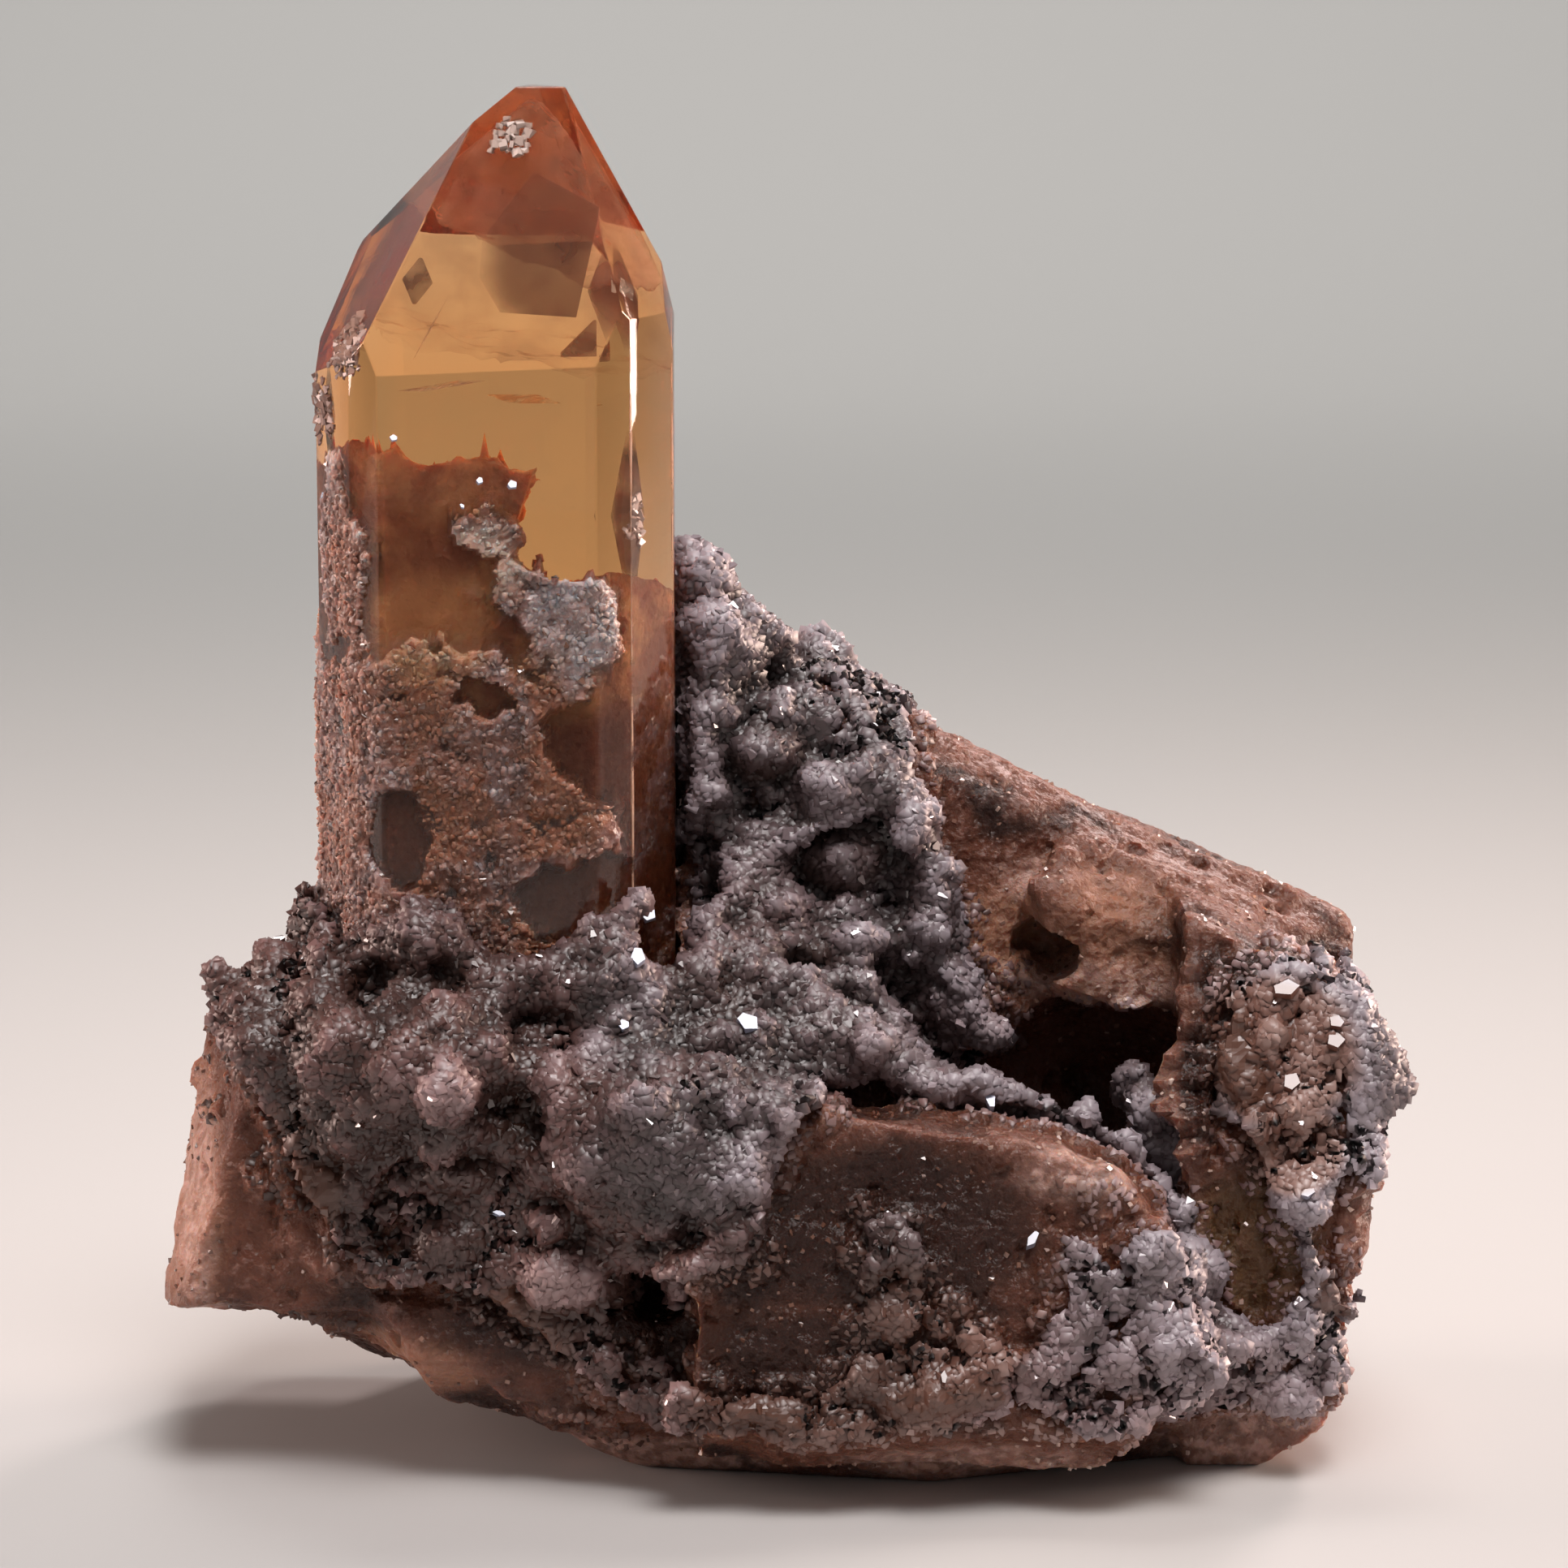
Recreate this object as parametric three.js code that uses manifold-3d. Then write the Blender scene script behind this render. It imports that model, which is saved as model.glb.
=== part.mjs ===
// A sherry topaz crystal standing on the cluster of recumbent topaz crystals that it grew with,
// the whole foot of it wrapped and filled with a lumpy crust of sugary druse.
// Millimetres, +Z up, -Y towards the viewer. The origin is the middle of the flat face it rests on.

import * as THREE from "three";
import { ConvexGeometry } from "three/addons/geometries/ConvexGeometry.js";
import { mergeVertices } from "three/addons/utils/BufferGeometryUtils.js";
import Module from "manifold-3d";

const wasm = await Module();
wasm.setup();

// ---------------------------------------------------------------- driving dimensions

const CRYSTAL_X = -8.25; // the upright crystal's axis
const CRYSTAL_TOP = 39.25; // its small flat summit
const CRYSTAL_ROOT = 9.5; // where it ends inside the cluster
const CRYSTAL_HALF_WIDTH = 5.1;
const CRYSTAL_HALF_DEPTH = 3.8;
const REST_Z = 0; // the broken underside, worn flat
const CLEARANCE = 0.3; // between the druse, the base crystals and the upright crystal
const MERGE = 1e-4; // vertices closer than this are one
const TINY = 1e-6; // planes closer to parallel, or points further behind a plane, than this count
const DEG = Math.PI / 180;

const COLOURS = { topaz: 0xc9823f, base: 0x8a4f33, druse: 0x8d8283 };

// ---------------------------------------------------------------- solids

/** A closed three.js geometry as a manifold solid. */
function solidOf(geometry) {
  const bare = geometry.clone();
  for (const name of Object.keys(bare.attributes)) {
    if (name !== "position") bare.deleteAttribute(name);
  }
  const merged = mergeVertices(bare, MERGE);
  return new wasm.Manifold(
    new wasm.Mesh({
      numProp: 3,
      vertProperties: merged.attributes.position.array,
      triVerts: new Uint32Array(merged.index.array),
    }),
  );
}

/** A manifold solid as a flat-shaded three.js geometry. */
function geometryOf(solid) {
  const mesh = solid.getMesh();
  const corners = new Float32Array(mesh.triVerts.length * 3);
  mesh.triVerts.forEach((vertex, corner) => {
    const from = vertex * mesh.numProp;
    corners.set(mesh.vertProperties.subarray(from, from + 3), corner * 3);
  });
  const geometry = new THREE.BufferGeometry();
  geometry.setAttribute("position", new THREE.BufferAttribute(corners, 3));
  geometry.computeVertexNormals();
  return geometry;
}

/** All the solids joined in one. */
function joined(solids) {
  return solids.reduce((whole, next) => whole.add(next));
}

/** The largest of the separate bodies of a solid: chips that a cut leaves behind are dropped. */
function largestBody(solid) {
  return solid.decompose().reduce((best, body) => (body.volume() > best.volume() ? body : best));
}

/** Seeded random numbers from 0 to 1, so that every build is the same. */
function seededRandom(seed) {
  let state = seed;
  return () => {
    state = (state * 1664525 + 1013904223) % 4294967296;
    return state / 4294967296;
  };
}

// ---------------------------------------------------------------- crystals with flat faces

/**
 * A crystal as the space behind all of its faces. Each face is [around, fromAxis, out]: the face's
 * normal stands `around` degrees round the crystal's axis from its own +X and `fromAxis` degrees
 * from its own +Z, and the face lies `out` mm from the crystal's centre. `grow` moves them all out.
 */
function crystal({ at, turn = [0, 0, 0], faces }, grow = 0) {
  const rotation = new THREE.Euler(...turn.map((angle) => angle * DEG));
  const planes = faces.map(([around, fromAxis, out]) => {
    const normal = new THREE.Vector3(
      Math.sin(fromAxis * DEG) * Math.cos(around * DEG),
      Math.sin(fromAxis * DEG) * Math.sin(around * DEG),
      Math.cos(fromAxis * DEG),
    );
    return new THREE.Plane(normal.applyEuler(rotation), -(out + grow));
  });
  const corners = cornersBehind(planes);
  const geometry = new ConvexGeometry(corners);
  geometry.translate(...at);
  return solidOf(geometry);
}

/** The corners of the convex body behind every plane: each point where three planes cross inside. */
function cornersBehind(planes) {
  const corners = [];
  for (let i = 0; i < planes.length; i++) {
    for (let j = i + 1; j < planes.length; j++) {
      for (let k = j + 1; k < planes.length; k++) {
        const point = crossing(planes[i], planes[j], planes[k]);
        if (!point || planes.some((plane) => plane.distanceToPoint(point) > TINY)) continue;
        if (corners.every((corner) => corner.distanceTo(point) > MERGE)) corners.push(point);
      }
    }
  }
  return corners;
}

/** The point that three planes share, or null where two of them are parallel. */
function crossing(a, b, c) {
  const bc = new THREE.Vector3().crossVectors(b.normal, c.normal);
  const scale = a.normal.dot(bc);
  if (Math.abs(scale) < TINY) return null;
  const ca = new THREE.Vector3().crossVectors(c.normal, a.normal);
  const ab = new THREE.Vector3().crossVectors(a.normal, b.normal);
  return bc
    .multiplyScalar(-a.constant)
    .addScaledVector(ca, -b.constant)
    .addScaledVector(ab, -c.constant)
    .divideScalar(scale);
}

// The upright crystal. Its prism has a broad face front and back and narrower ones down both sides,
// each face facing its twin; its point is cut by steep pyramid faces, higher on the right.
const PRISM_FACES = [
  [0, CRYSTAL_HALF_WIDTH],
  [-26.6, 4.83],
  [-48.2, 4.8],
  [-89, CRYSTAL_HALF_DEPTH],
  [-135, 4.91],
  [-156, 4.83],
].flatMap(([around, out]) => [
  [around, 90, out],
  [around + 180, 90, out],
]);

const POINT_FACES = [
  [0, 0, CRYSTAL_TOP], // the small flat summit
  [-90, 67.4, 15.62], // the large front face of the point
  [90, 60, 20.3], // the back face
  [-163.3, 59.1, 20.31], // the long left face, turned a little to the front
  [141, 82.8, 7.78], // the steep left face behind it
  [170, 41, 29.1], // the upper left shoulder
  [-27.1, 67, 17.3], // the right face at the front
  [32, 62.4, 19.48], // the right face at the back
  [-5, 81, 10.05], // the bevel at the right shoulder
];

const UPRIGHT = {
  at: [CRYSTAL_X, 0, 0],
  faces: [...PRISM_FACES, ...POINT_FACES, [0, 180, -CRYSTAL_ROOT]],
};

// The base crystals, grown through each other.
const BACK_CRYSTAL = {
  // slopes down to the right behind the hollow; its own +X points down, its own -Y to the front
  at: [6, 4.5, 13.5],
  turn: [0, 114, 0],
  faces: [
    [-97, 90, 3.2],
    [-150, 90, 5.3],
    [172, 90, 5.25],
    [140, 90, 5.2],
    [92, 90, 3.6],
    [0, 90, 8.4],
    [0, 45, 13.2],
    [180, 24, 10.9],
    [0, 180, 9.4],
    [180, 140, 9.5],
  ],
};

const HEART_CRYSTAL = {
  // the body behind the druse that the upright crystal grows from
  at: [-3, 2, 7],
  faces: [
    [0, 90, 6],
    [-90, 84, 5.2],
    [180, 90, 8.4],
    [95, 86, 5.6],
    [-45, 90, 7.2],
    [-135, 90, 8],
    [45, 88, 7.6],
    [140, 86, 8.2],
    [0, 30, 7.2],
    [-90, 35, 7.3],
    [180, 25, 8.6],
    [-165, 152, 7],
    [0, 180, 7 - REST_Z],
  ],
};

const RIGHT_CRYSTAL = {
  at: [14, 0, 7],
  faces: [
    [0, 95, 2.2],
    [0, 70, 4.1],
    [0, 36, 6.7],
    [0, 24, 7.1],
    [-90, 70, 5.6],
    [-90, 96, 5],
    [-42, 92, 5.7],
    [42, 90, 6.6],
    [90, 88, 6.6],
    [180, 90, 2.6],
    [0, 118, 4.0],
    [0, 143, 5.5],
    [0, 180, 7 - REST_Z],
  ],
};

const FLOOR_CRYSTAL = {
  at: [2, 0, 2.2],
  faces: [
    [0, 95, 12.6],
    [-90, 82, 6.9],
    [-90, 128, 6.1],
    [-71, 128, 6.25],
    [-100, 130, 5.5],
    [-35, 90, 12.6],
    [90, 90, 7.4],
    [40, 90, 13],
    [140, 92, 13.4],
    [180, 80, 15.4],
    [-160, 158, 4.75],
    [-135, 120, 10.6],
    [0, 4, 2.4],
    [0, 180, 2.2 - REST_Z],
  ],
};

const LIP_CRYSTAL = {
  // the slab that stands in front of the hollow, with its rounded corner at the right
  at: [4, -6.5, 6],
  faces: [
    [-90, 84, 1.9],
    [90, 90, 1.4],
    [0, 7.5, 4.8],
    [0, 23, 5.35],
    [0, 51, 6.35],
    [0, 79, 6.75],
    [0, 110, 6.5],
    [180, 90, 6.5],
    [-90, 140, 4.3],
    [0, 180, 5],
  ],
};

const LEFT_CRYSTAL = {
  at: [-12, -0.5, 8.5],
  faces: [
    [180, 81.4, 5.2],
    [180, 50, 6.4],
    [-155, 75.5, 5.6],
    [150, 84, 6],
    [-95, 86, 5.3],
    [-90, 40, 6.2],
    [90, 86, 5.6],
    [0, 90, 6],
    [180, 30, 5.6],
    [-100, 168, 4.6],
    [180, 150, 6.6],
  ],
};

// A small crystal as [around, fromAxis, out], with `out` as a share of its width for the six sides
// and of its length for the two faces at each end.
const SPUR_SIDES = [
  [0, 90, 0.44],
  [55, 90, 0.5],
  [125, 90, 0.5],
  [180, 90, 0.44],
  [235, 90, 0.5],
  [305, 90, 0.5],
];
const SPUR_ENDS = [
  [20, 35, 0.46],
  [200, 28, 0.44],
  [80, 160, 0.47],
  [290, 142, 0.45],
];

/** A small crystal, `wide` and `long`, lying along its own Z, with a blunt point at each end. */
function spur(at, turn, wide, long) {
  const sides = SPUR_SIDES.map(([around, fromAxis, share]) => [around, fromAxis, share * wide]);
  const ends = SPUR_ENDS.map(([around, fromAxis, share]) => [around, fromAxis, share * long]);
  return { at, turn, faces: [...sides, ...ends] };
}

const SPURS = [
  spur([9.5, 6.8, 8.4], [4, 112, 20], 5.2, 14), // along the back crystal, behind it
  spur([2.6, 6.6, 4.4], [0, 95, 10], 5, 13),
  spur([-12.6, 3.6, 7.8], [12, 78, 35], 5.6, 9), // out of the left crystal's back
  spur([-9.8, -4.6, 6.7], [-6, 84, 15], 3.2, 8), // along its foot
  spur([-4.6, -5.2, 3.4], [4, 100, 40], 3.2, 8),
  spur([7.6, -7.1, 4.2], [-8, 82, 0], 3, 7.5), // across the lip's foot
  spur([13.6, -3.4, 5.6], [2, 8, 30], 4, 7.6), // up the right crystal's front
  spur([11.4, 2.2, 13.7], [6, 112, 35], 4.6, 9), // a step on the back crystal's face
];

const BASE_CRYSTALS = [
  BACK_CRYSTAL,
  HEART_CRYSTAL,
  RIGHT_CRYSTAL,
  FLOOR_CRYSTAL,
  LIP_CRYSTAL,
  LEFT_CRYSTAL,
  ...SPURS,
];

// ---------------------------------------------------------------- lumps, coats and pits of druse

const COAT = 0.4; // thickness of the druse between its lumps
const BIG_LUMP = 2.3; // lumps over this radius have 80 faces, smaller ones 20
const BUDDING = 2.4; // and lumps over this one carry two buds
const BUD = { out: 0.88, smallest: 0.3, range: 0.2 }; // shares of the lump's radius
const BUD_SPREAD = 2.2; // how far the buds stray from the way the lump faces
const LUMP_SPACING = 0.9; // at most, as a share of two neighbours' radii together
const CROWDED = 0.8; // and at least, as a share of a lump's own radius
const CROWDED_MOST = 1.6; // or this much between big ones
const UNEVEN = 0.13; // each corner of a lump is moved in or out by up to this share
const BIG_PATCH = 1.15; // patches over this radius have 80 faces
const REACH = 15; // further than the specimen reaches to the front or back
const PATCH_THICKNESS = 0.42; // of its width, for the druse on the upright crystal's faces
const PATCH_STRETCH = 0.4; // a patch is up to this share taller than it is wide
const SPACE_UNEVEN = 0.07; // the same as UNEVEN, for the hollows
const NOOK_SHRINK = 0.5; // at most, so that the nook is never closed

/** A ball of flat faces with every corner moved in or out at random. */
function unevenBall(detail, uneven, random) {
  const round = new THREE.IcosahedronGeometry(1, detail);
  round.deleteAttribute("uv");
  round.deleteAttribute("normal");
  const ball = mergeVertices(round, MERGE);
  const corners = ball.attributes.position;
  for (let i = 0; i < corners.count; i++) {
    const out = 1 + uneven * (2 * random() - 1);
    corners.setXYZ(i, corners.getX(i) * out, corners.getY(i) * out, corners.getZ(i) * out);
  }
  return ball;
}

/** One lump of druse. */
function lump([x, y, z, radius], random) {
  const ball = unevenBall(radius > BIG_LUMP ? 1 : 0, UNEVEN, random);
  ball.rotateZ(2 * Math.PI * random()).rotateX(2 * Math.PI * random());
  ball.scale(radius, radius, radius).translate(x, y, z);
  return solidOf(ball);
}

/** A lump grown flat on a face whose normal stands `around` degrees from +X. */
function patch([x, y, z, radius], around, random) {
  const ball = unevenBall(radius > BIG_PATCH ? 1 : 0, UNEVEN, random);
  ball.scale(radius * PATCH_THICKNESS, radius, radius * (1 + PATCH_STRETCH * random()));
  ball.rotateZ(around * DEG).translate(x, y, z);
  return solidOf(ball);
}

/** Two smaller lumps on the side of a lump that looks along `facing`. */
function buds([x, y, z, radius], facing, random) {
  return [0, 1].map(() => {
    const out = new THREE.Vector3(random() - 0.5, random() - 0.5, random() - 0.5)
      .multiplyScalar(BUD_SPREAD)
      .add(facing)
      .normalize()
      .multiplyScalar(radius * BUD.out);
    const size = radius * (BUD.smallest + BUD.range * random());
    return lump([x + out.x, y + out.y, z + out.z, size], random);
  });
}

/** The places for lumps along a row of [x, y, z, radius], each lump overlapping the next. */
function placesAlong(row) {
  const places = [];
  for (let i = 1; i < row.length; i++) {
    const from = new THREE.Vector4(...row[i - 1]);
    const to = new THREE.Vector4(...row[i]);
    const length = Math.hypot(to.x - from.x, to.y - from.y, to.z - from.z);
    const steps = Math.ceil(length / (LUMP_SPACING * (from.w + to.w)));
    for (let step = 0; step <= steps; step++) {
      places.push(from.clone().lerp(to, step / steps).toArray());
    }
  }
  return places;
}

/** Ridges of druse: lumps along every row, but none on top of another. */
function ridges(rows, facing, random) {
  const taken = [];
  for (const place of rows.flatMap(placesAlong)) {
    const [x, y, z, radius] = place;
    const apart = Math.min(CROWDED * radius, CROWDED_MOST);
    const near = ([x2, y2, z2]) => Math.hypot(x - x2, y - y2, z - z2) < apart;
    if (!taken.some(near)) taken.push(place);
  }
  return taken.flatMap((place) => {
    const more = place[3] > BUDDING ? buds(place, facing, random) : [];
    return [lump(place, random), ...more];
  });
}

/** An uneven space that reaches `size` from its middle each way, and `shrink` less. */
function unevenSpace({ at, size, seed }, shrink = 0) {
  const ball = unevenBall(2, SPACE_UNEVEN, seededRandom(seed));
  ball.scale(...size.map((reach) => reach - shrink)).translate(...at);
  return solidOf(ball);
}

/** The part of an uneven space that an outline of [x, z] corners holds, seen from the front. */
function region({ outline, within }) {
  const shape = new THREE.Shape(outline.map(([x, z]) => new THREE.Vector2(x, z)));
  const geometry = new THREE.ExtrudeGeometry(shape, { depth: 2 * REACH, bevelEnabled: false });
  geometry.rotateX(Math.PI / 2).translate(0, REACH, 0);
  return solidOf(geometry).intersect(unevenSpace(within));
}

// Where the druse coats the base crystals, as outlines seen from the front.
const COATED = [
  {
    // the left crystal and the heart, under the big lobes
    within: { at: [-8, -5, 10], size: [13, 8.5, 13], seed: 21 },
    outline: [
      [-15.3, 14.9], [-13.7, 16.2], [-8.2, 17.1], [-4, 17], [-0.8, 15.8], [1, 14.2], [1.5, 11.4],
      [-0.1, 9.9], [-0.3, 7.3], [-2.2, 5.2], [-4.1, 5.7], [-5.5, 3.7], [-7.6, 4.7], [-9.4, 5.9],
      [-12.4, 6.4], [-13.8, 8.3], [-14.4, 10.2], [-15.6, 12.1], [-16.8, 13.2], [-16.6, 14],
    ],
  },
  {
    // the slope from the upright crystal down the back crystal
    within: { at: [0, 2, 17], size: [9, 6.4, 12], seed: 22 },
    outline: [
      [-4.5, 27], [-1.6, 26], [0.6, 24], [4, 21.6], [4.1, 18.5], [4.9, 16.6], [5.5, 15.1],
      [5.7, 12.9], [6.8, 10.9], [4.4, 10], [0.8, 10.4], [-1.6, 11.7], [-4.5, 13.6],
    ],
  },
  {
    // the right crystal's front and edge, down round the foot to the lip's corner
    within: { at: [12, -8, 8], size: [12, 10.4, 13], seed: 23 },
    outline: [
      [12.5, 14.4], [14.2, 15], [16.2, 14.3], [17.3, 13], [17.5, 9], [15.3, 8.5], [15.2, 6.9], [16.1, 5.2],
      [16.2, 2.8], [14.7, 1.6], [12.8, 2.1], [10.8, 1.7], [8.4, 2.3], [6.6, 3], [7, 5.4],
      [8.6, 7.6], [10.7, 8.1], [12.1, 5.4], [13.7, 4.5], [14.4, 6.2], [13.7, 8.3], [12.3, 10],
      [11.9, 12.3],
    ],
  },
  {
    // a tongue of it along the foot
    within: { at: [1, -9, 5], size: [12, 5, 9], seed: 24 },
    outline: [
      [2.1, 8.8], [3.7, 8.4], [4.2, 6.3], [6.7, 4.6], [8, 3], [3.3, 2.3], [0.8, 2], [-2.4, 2.3],
      [-5.6, 3], [-6.2, 4.9], [-4.7, 4.9], [-1.9, 3.7], [1, 3.7], [2.1, 5.1], [1.7, 7],
    ],
  },
  {
    // behind, round the upright crystal's foot
    within: { at: [-6, 8, 15], size: [11, 5.6, 9], seed: 25 },
    outline: [
      [-16, 14.5], [-13, 16.5], [-4.5, 22], [-1.6, 24], [2.6, 20.6], [1.4, 15.6], [-3.4, 14.2],
      [-5.2, 10.4], [-10.6, 8.2], [-14.8, 10.4],
    ],
  },
];

// Druse in ridges, each a row of [x, y, z, radius] that the lumps follow.
const LEFT_RIDGES = [
  // from the left shoulder over the dome at the crystal's left foot to its right foot
  [
    [-15.6, -1.4, 13.1, 1.5], [-14.2, -2.8, 13.5, 1.9], [-12.3, -3.8, 14.5, 1.9], [-10.2, -4.2, 15.4, 1.9],
    [-8.2, -4.8, 14.1, 1.6], [-6.3, -5.0, 14.1, 1.5], [-4.9, -4.7, 15.3, 1.2], [-4.1, -4.1, 16.6, 0.8],
  ],
  // the big left lobe
  [
    [-13.0, -4.8, 13.0, 2.2], [-11.3, -6.2, 12.2, 2.7], [-9.2, -6.2, 12.1, 2.5], [-7.7, -5.4, 11.7, 2.0],
  ],
  // the skirt under it
  [
    [-13.0, -5.0, 10.0, 1.8], [-12.1, -5.4, 8.4, 1.7], [-10.0, -5.5, 8.0, 1.6], [-8.2, -5.6, 7.0, 1.6],
  ],
  // behind the crystal's left foot
  [
    [-14.3, -1.8, 13.5, 1.7], [-13.4, -1.0, 15.6, 1.4], [-13.1, 1.6, 14.6, 1.5],
  ],
];

const CENTRE_RIDGES = [
  // the big central lobe
  [
    [-6.1, -6.4, 10.9, 2.4], [-4.2, -7.0, 10.4, 2.9], [-2.5, -7.2, 9.7, 2.6], [-1.8, -7.2, 8.5, 2.0],
  ],
  // its underside
  [
    [-2.4, -6.8, 8.1, 1.7], [-4.2, -6.6, 7.8, 2.0], [-6.3, -6.0, 6.7, 2.0], [-6.3, -5.8, 5.4, 1.3],
  ],
  // up to the crystal's right foot
  [
    [-4.5, -6.0, 11.4, 1.9], [-4.7, -5.4, 12.9, 1.7], [-5.2, -5.0, 14.4, 1.4],
  ],
];

const SADDLE_RIDGES = [
  // between the crystal and the hollow
  [
    [-4.0, -4.6, 13.6, 1.5], [-2.4, -3.8, 13.9, 1.5], [-0.8, -3.4, 13.8, 1.5], [0.8, -4.0, 13.0, 1.3],
    [2.2, -4.7, 12.5, 1.3], [3.8, -4.8, 11.7, 1.1], [5.4, -4.8, 11.1, 1.0], [7.2, -4.8, 10.5, 0.9],
  ],
  // below it
  [
    [-2.7, -5.2, 12.1, 1.6], [-1.1, -5.0, 12.5, 1.4], [0.3, -4.8, 12.3, 1.3],
  ],
  // behind the lip to the clump on its corner
  [
    [7.2, -4.8, 10.5, 0.9], [9.5, -4.8, 9.3, 0.9], [11.1, -5.2, 7.6, 1.0], [11.6, -5.8, 6.1, 1.2],
  ],
];

const BACK_RIDGES = [
  // the rim of the slope
  [
    [-2.9, 3.2, 24.3, 1.6], [-1.4, 3.0, 22.6, 2.0], [0.7, 2.8, 20.7, 1.8], [2.8, 2.8, 19.3, 1.4],
  ],
  // down beside the crystal
  [
    [-2.3, 1.7, 22.8, 1.6], [-2.4, 0.9, 21.0, 1.3], [-2.4, 0.3, 18.7, 1.2], [-1.3, 0.0, 17.1, 1.3],
    [-0.1, -0.5, 15.7, 1.3],
  ],
  // between the two pits
  [
    [-1.3, 0.0, 17.1, 1.0], [0.6, 0.2, 18.0, 1.0], [2.5, 0.7, 19.1, 1.1], [2.8, 1.3, 19.6, 1.2],
  ],
  // round the lower pit
  [
    [2.8, 1.5, 19.6, 1.4], [3.8, 0.7, 18.1, 1.2], [4.4, 0.3, 16.3, 1.2], [3.9, -0.1, 14.7, 1.3],
    [2.0, -0.5, 14.8, 1.3], [-0.1, -0.7, 15.8, 1.3],
  ],
  // down into the hollow
  [
    [3.9, -0.1, 14.7, 1.3], [5.0, 0.4, 13.0, 1.3], [6.2, 0.8, 11.6, 1.1],
  ],
  // and over to the saddle
  [
    [-0.1, -0.7, 15.8, 1.3], [-2.0, -2.1, 15.1, 1.3], [-2.0, -3.5, 14.2, 1.3],
  ],
  // floor of the valley
  [
    [-0.1, -1.5, 14.5, 1.3], [2.2, -1.7, 13.2, 1.3], [3.5, -2.9, 11.8, 1.1],
  ],
];

const RIGHT_RIDGES = [
  // over the upper right corner
  [
    [14.0, -3.4, 14.1, 1.1], [15.7, -3.4, 13.0, 1.2], [16.1, -3.8, 11.4, 1.2], [15.1, -4.9, 9.2, 1.1],
  ],
  // down the front
  [
    [14.0, -3.4, 14.1, 1.1], [13.9, -4.4, 12.4, 1.3], [14.4, -5.0, 10.8, 1.2], [15.1, -4.9, 9.2, 1.1],
    [14.6, -4.9, 7.5, 1.0],
  ],
  // along the foot to the clump
  [
    [14.6, -4.9, 7.5, 1.0], [15.7, -4.7, 5.3, 1.0], [14.9, -4.8, 3.7, 1.3], [12.8, -5.2, 3.3, 1.4],
    [10.9, -6.0, 4.1, 1.4],
  ],
  // the clump on the corner of the lip
  [
    [11.6, -6.2, 6.1, 1.2], [10.6, -7.4, 6.7, 1.5], [9.9, -7.9, 5.4, 1.7], [8.3, -8.0, 5.2, 1.5],
    [8.2, -8.1, 7.1, 1.2],
  ],
];

const FOOT_RIDGES = [
  [
    [8.3, -8.0, 4.8, 1.3], [6.2, -8.0, 3.4, 1.1], [4.4, -8.2, 3.9, 1.3], [3.3, -8.4, 5.5, 1.3],
    [3.2, -8.4, 7.4, 1.1],
  ],
  [
    [4.4, -8.2, 3.9, 1.3], [2.1, -7.6, 2.6, 1.1], [-0.6, -7.2, 2.3, 1.1], [-3.1, -7.0, 2.8, 1.2],
    [-5.2, -5.8, 3.5, 1.2],
  ],
  [
    [-5.2, -5.8, 3.5, 1.2], [-6.1, -5.6, 5.4, 1.2],
  ],
];

const HOLLOW_RIDGES = [
  [
    [10.2, -1.4, 10.6, 1.1], [11.1, -2.6, 9.6, 1.5], [12.4, -3.2, 9.5, 1.2], [13.7, -4.2, 10.2, 1.0],
  ],
  [
    [11.1, -2.6, 9.6, 1.3], [11.5, -3.4, 7.9, 1.0], [11.2, -4.6, 7.5, 1.0],
  ],
];

const REAR_RIDGES = [
  // down the back of the specimen from the slope's rim and from the left shoulder
  [
    [-1.4, 3.6, 22.2, 1.9], [-3.4, 5.0, 20.4, 1.9], [-5.6, 6.4, 17.4, 2.0], [-8.0, 6.8, 14.4, 2.0],
    [-10.6, 6.0, 11.6, 1.8],
  ],
  [
    [-13.1, 1.6, 14.6, 1.5], [-12.4, 4.4, 13.4, 1.7], [-10.6, 6.0, 11.6, 1.8],
  ],
  [
    [-1.6, 5.6, 20.0, 1.8], [1.4, 7.2, 17.2, 1.5],
  ],
];

// Open pits among the lumps, as [x, y, z, radius].
const PITS = [
  [0.1, -0.4, 19.1, 1.35], // two on the slope
  [2.0, -1.1, 16.1, 1.45],
  [-7.5, -8.6, 11.6, 1.1], // and the gaps between the front lobes
  [-8.9, -8.6, 7.6, 1.0],
  [-3.0, -8.4, 5.0, 1.7],
  [-1.0, -8.6, 5.4, 1.6],
];

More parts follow.
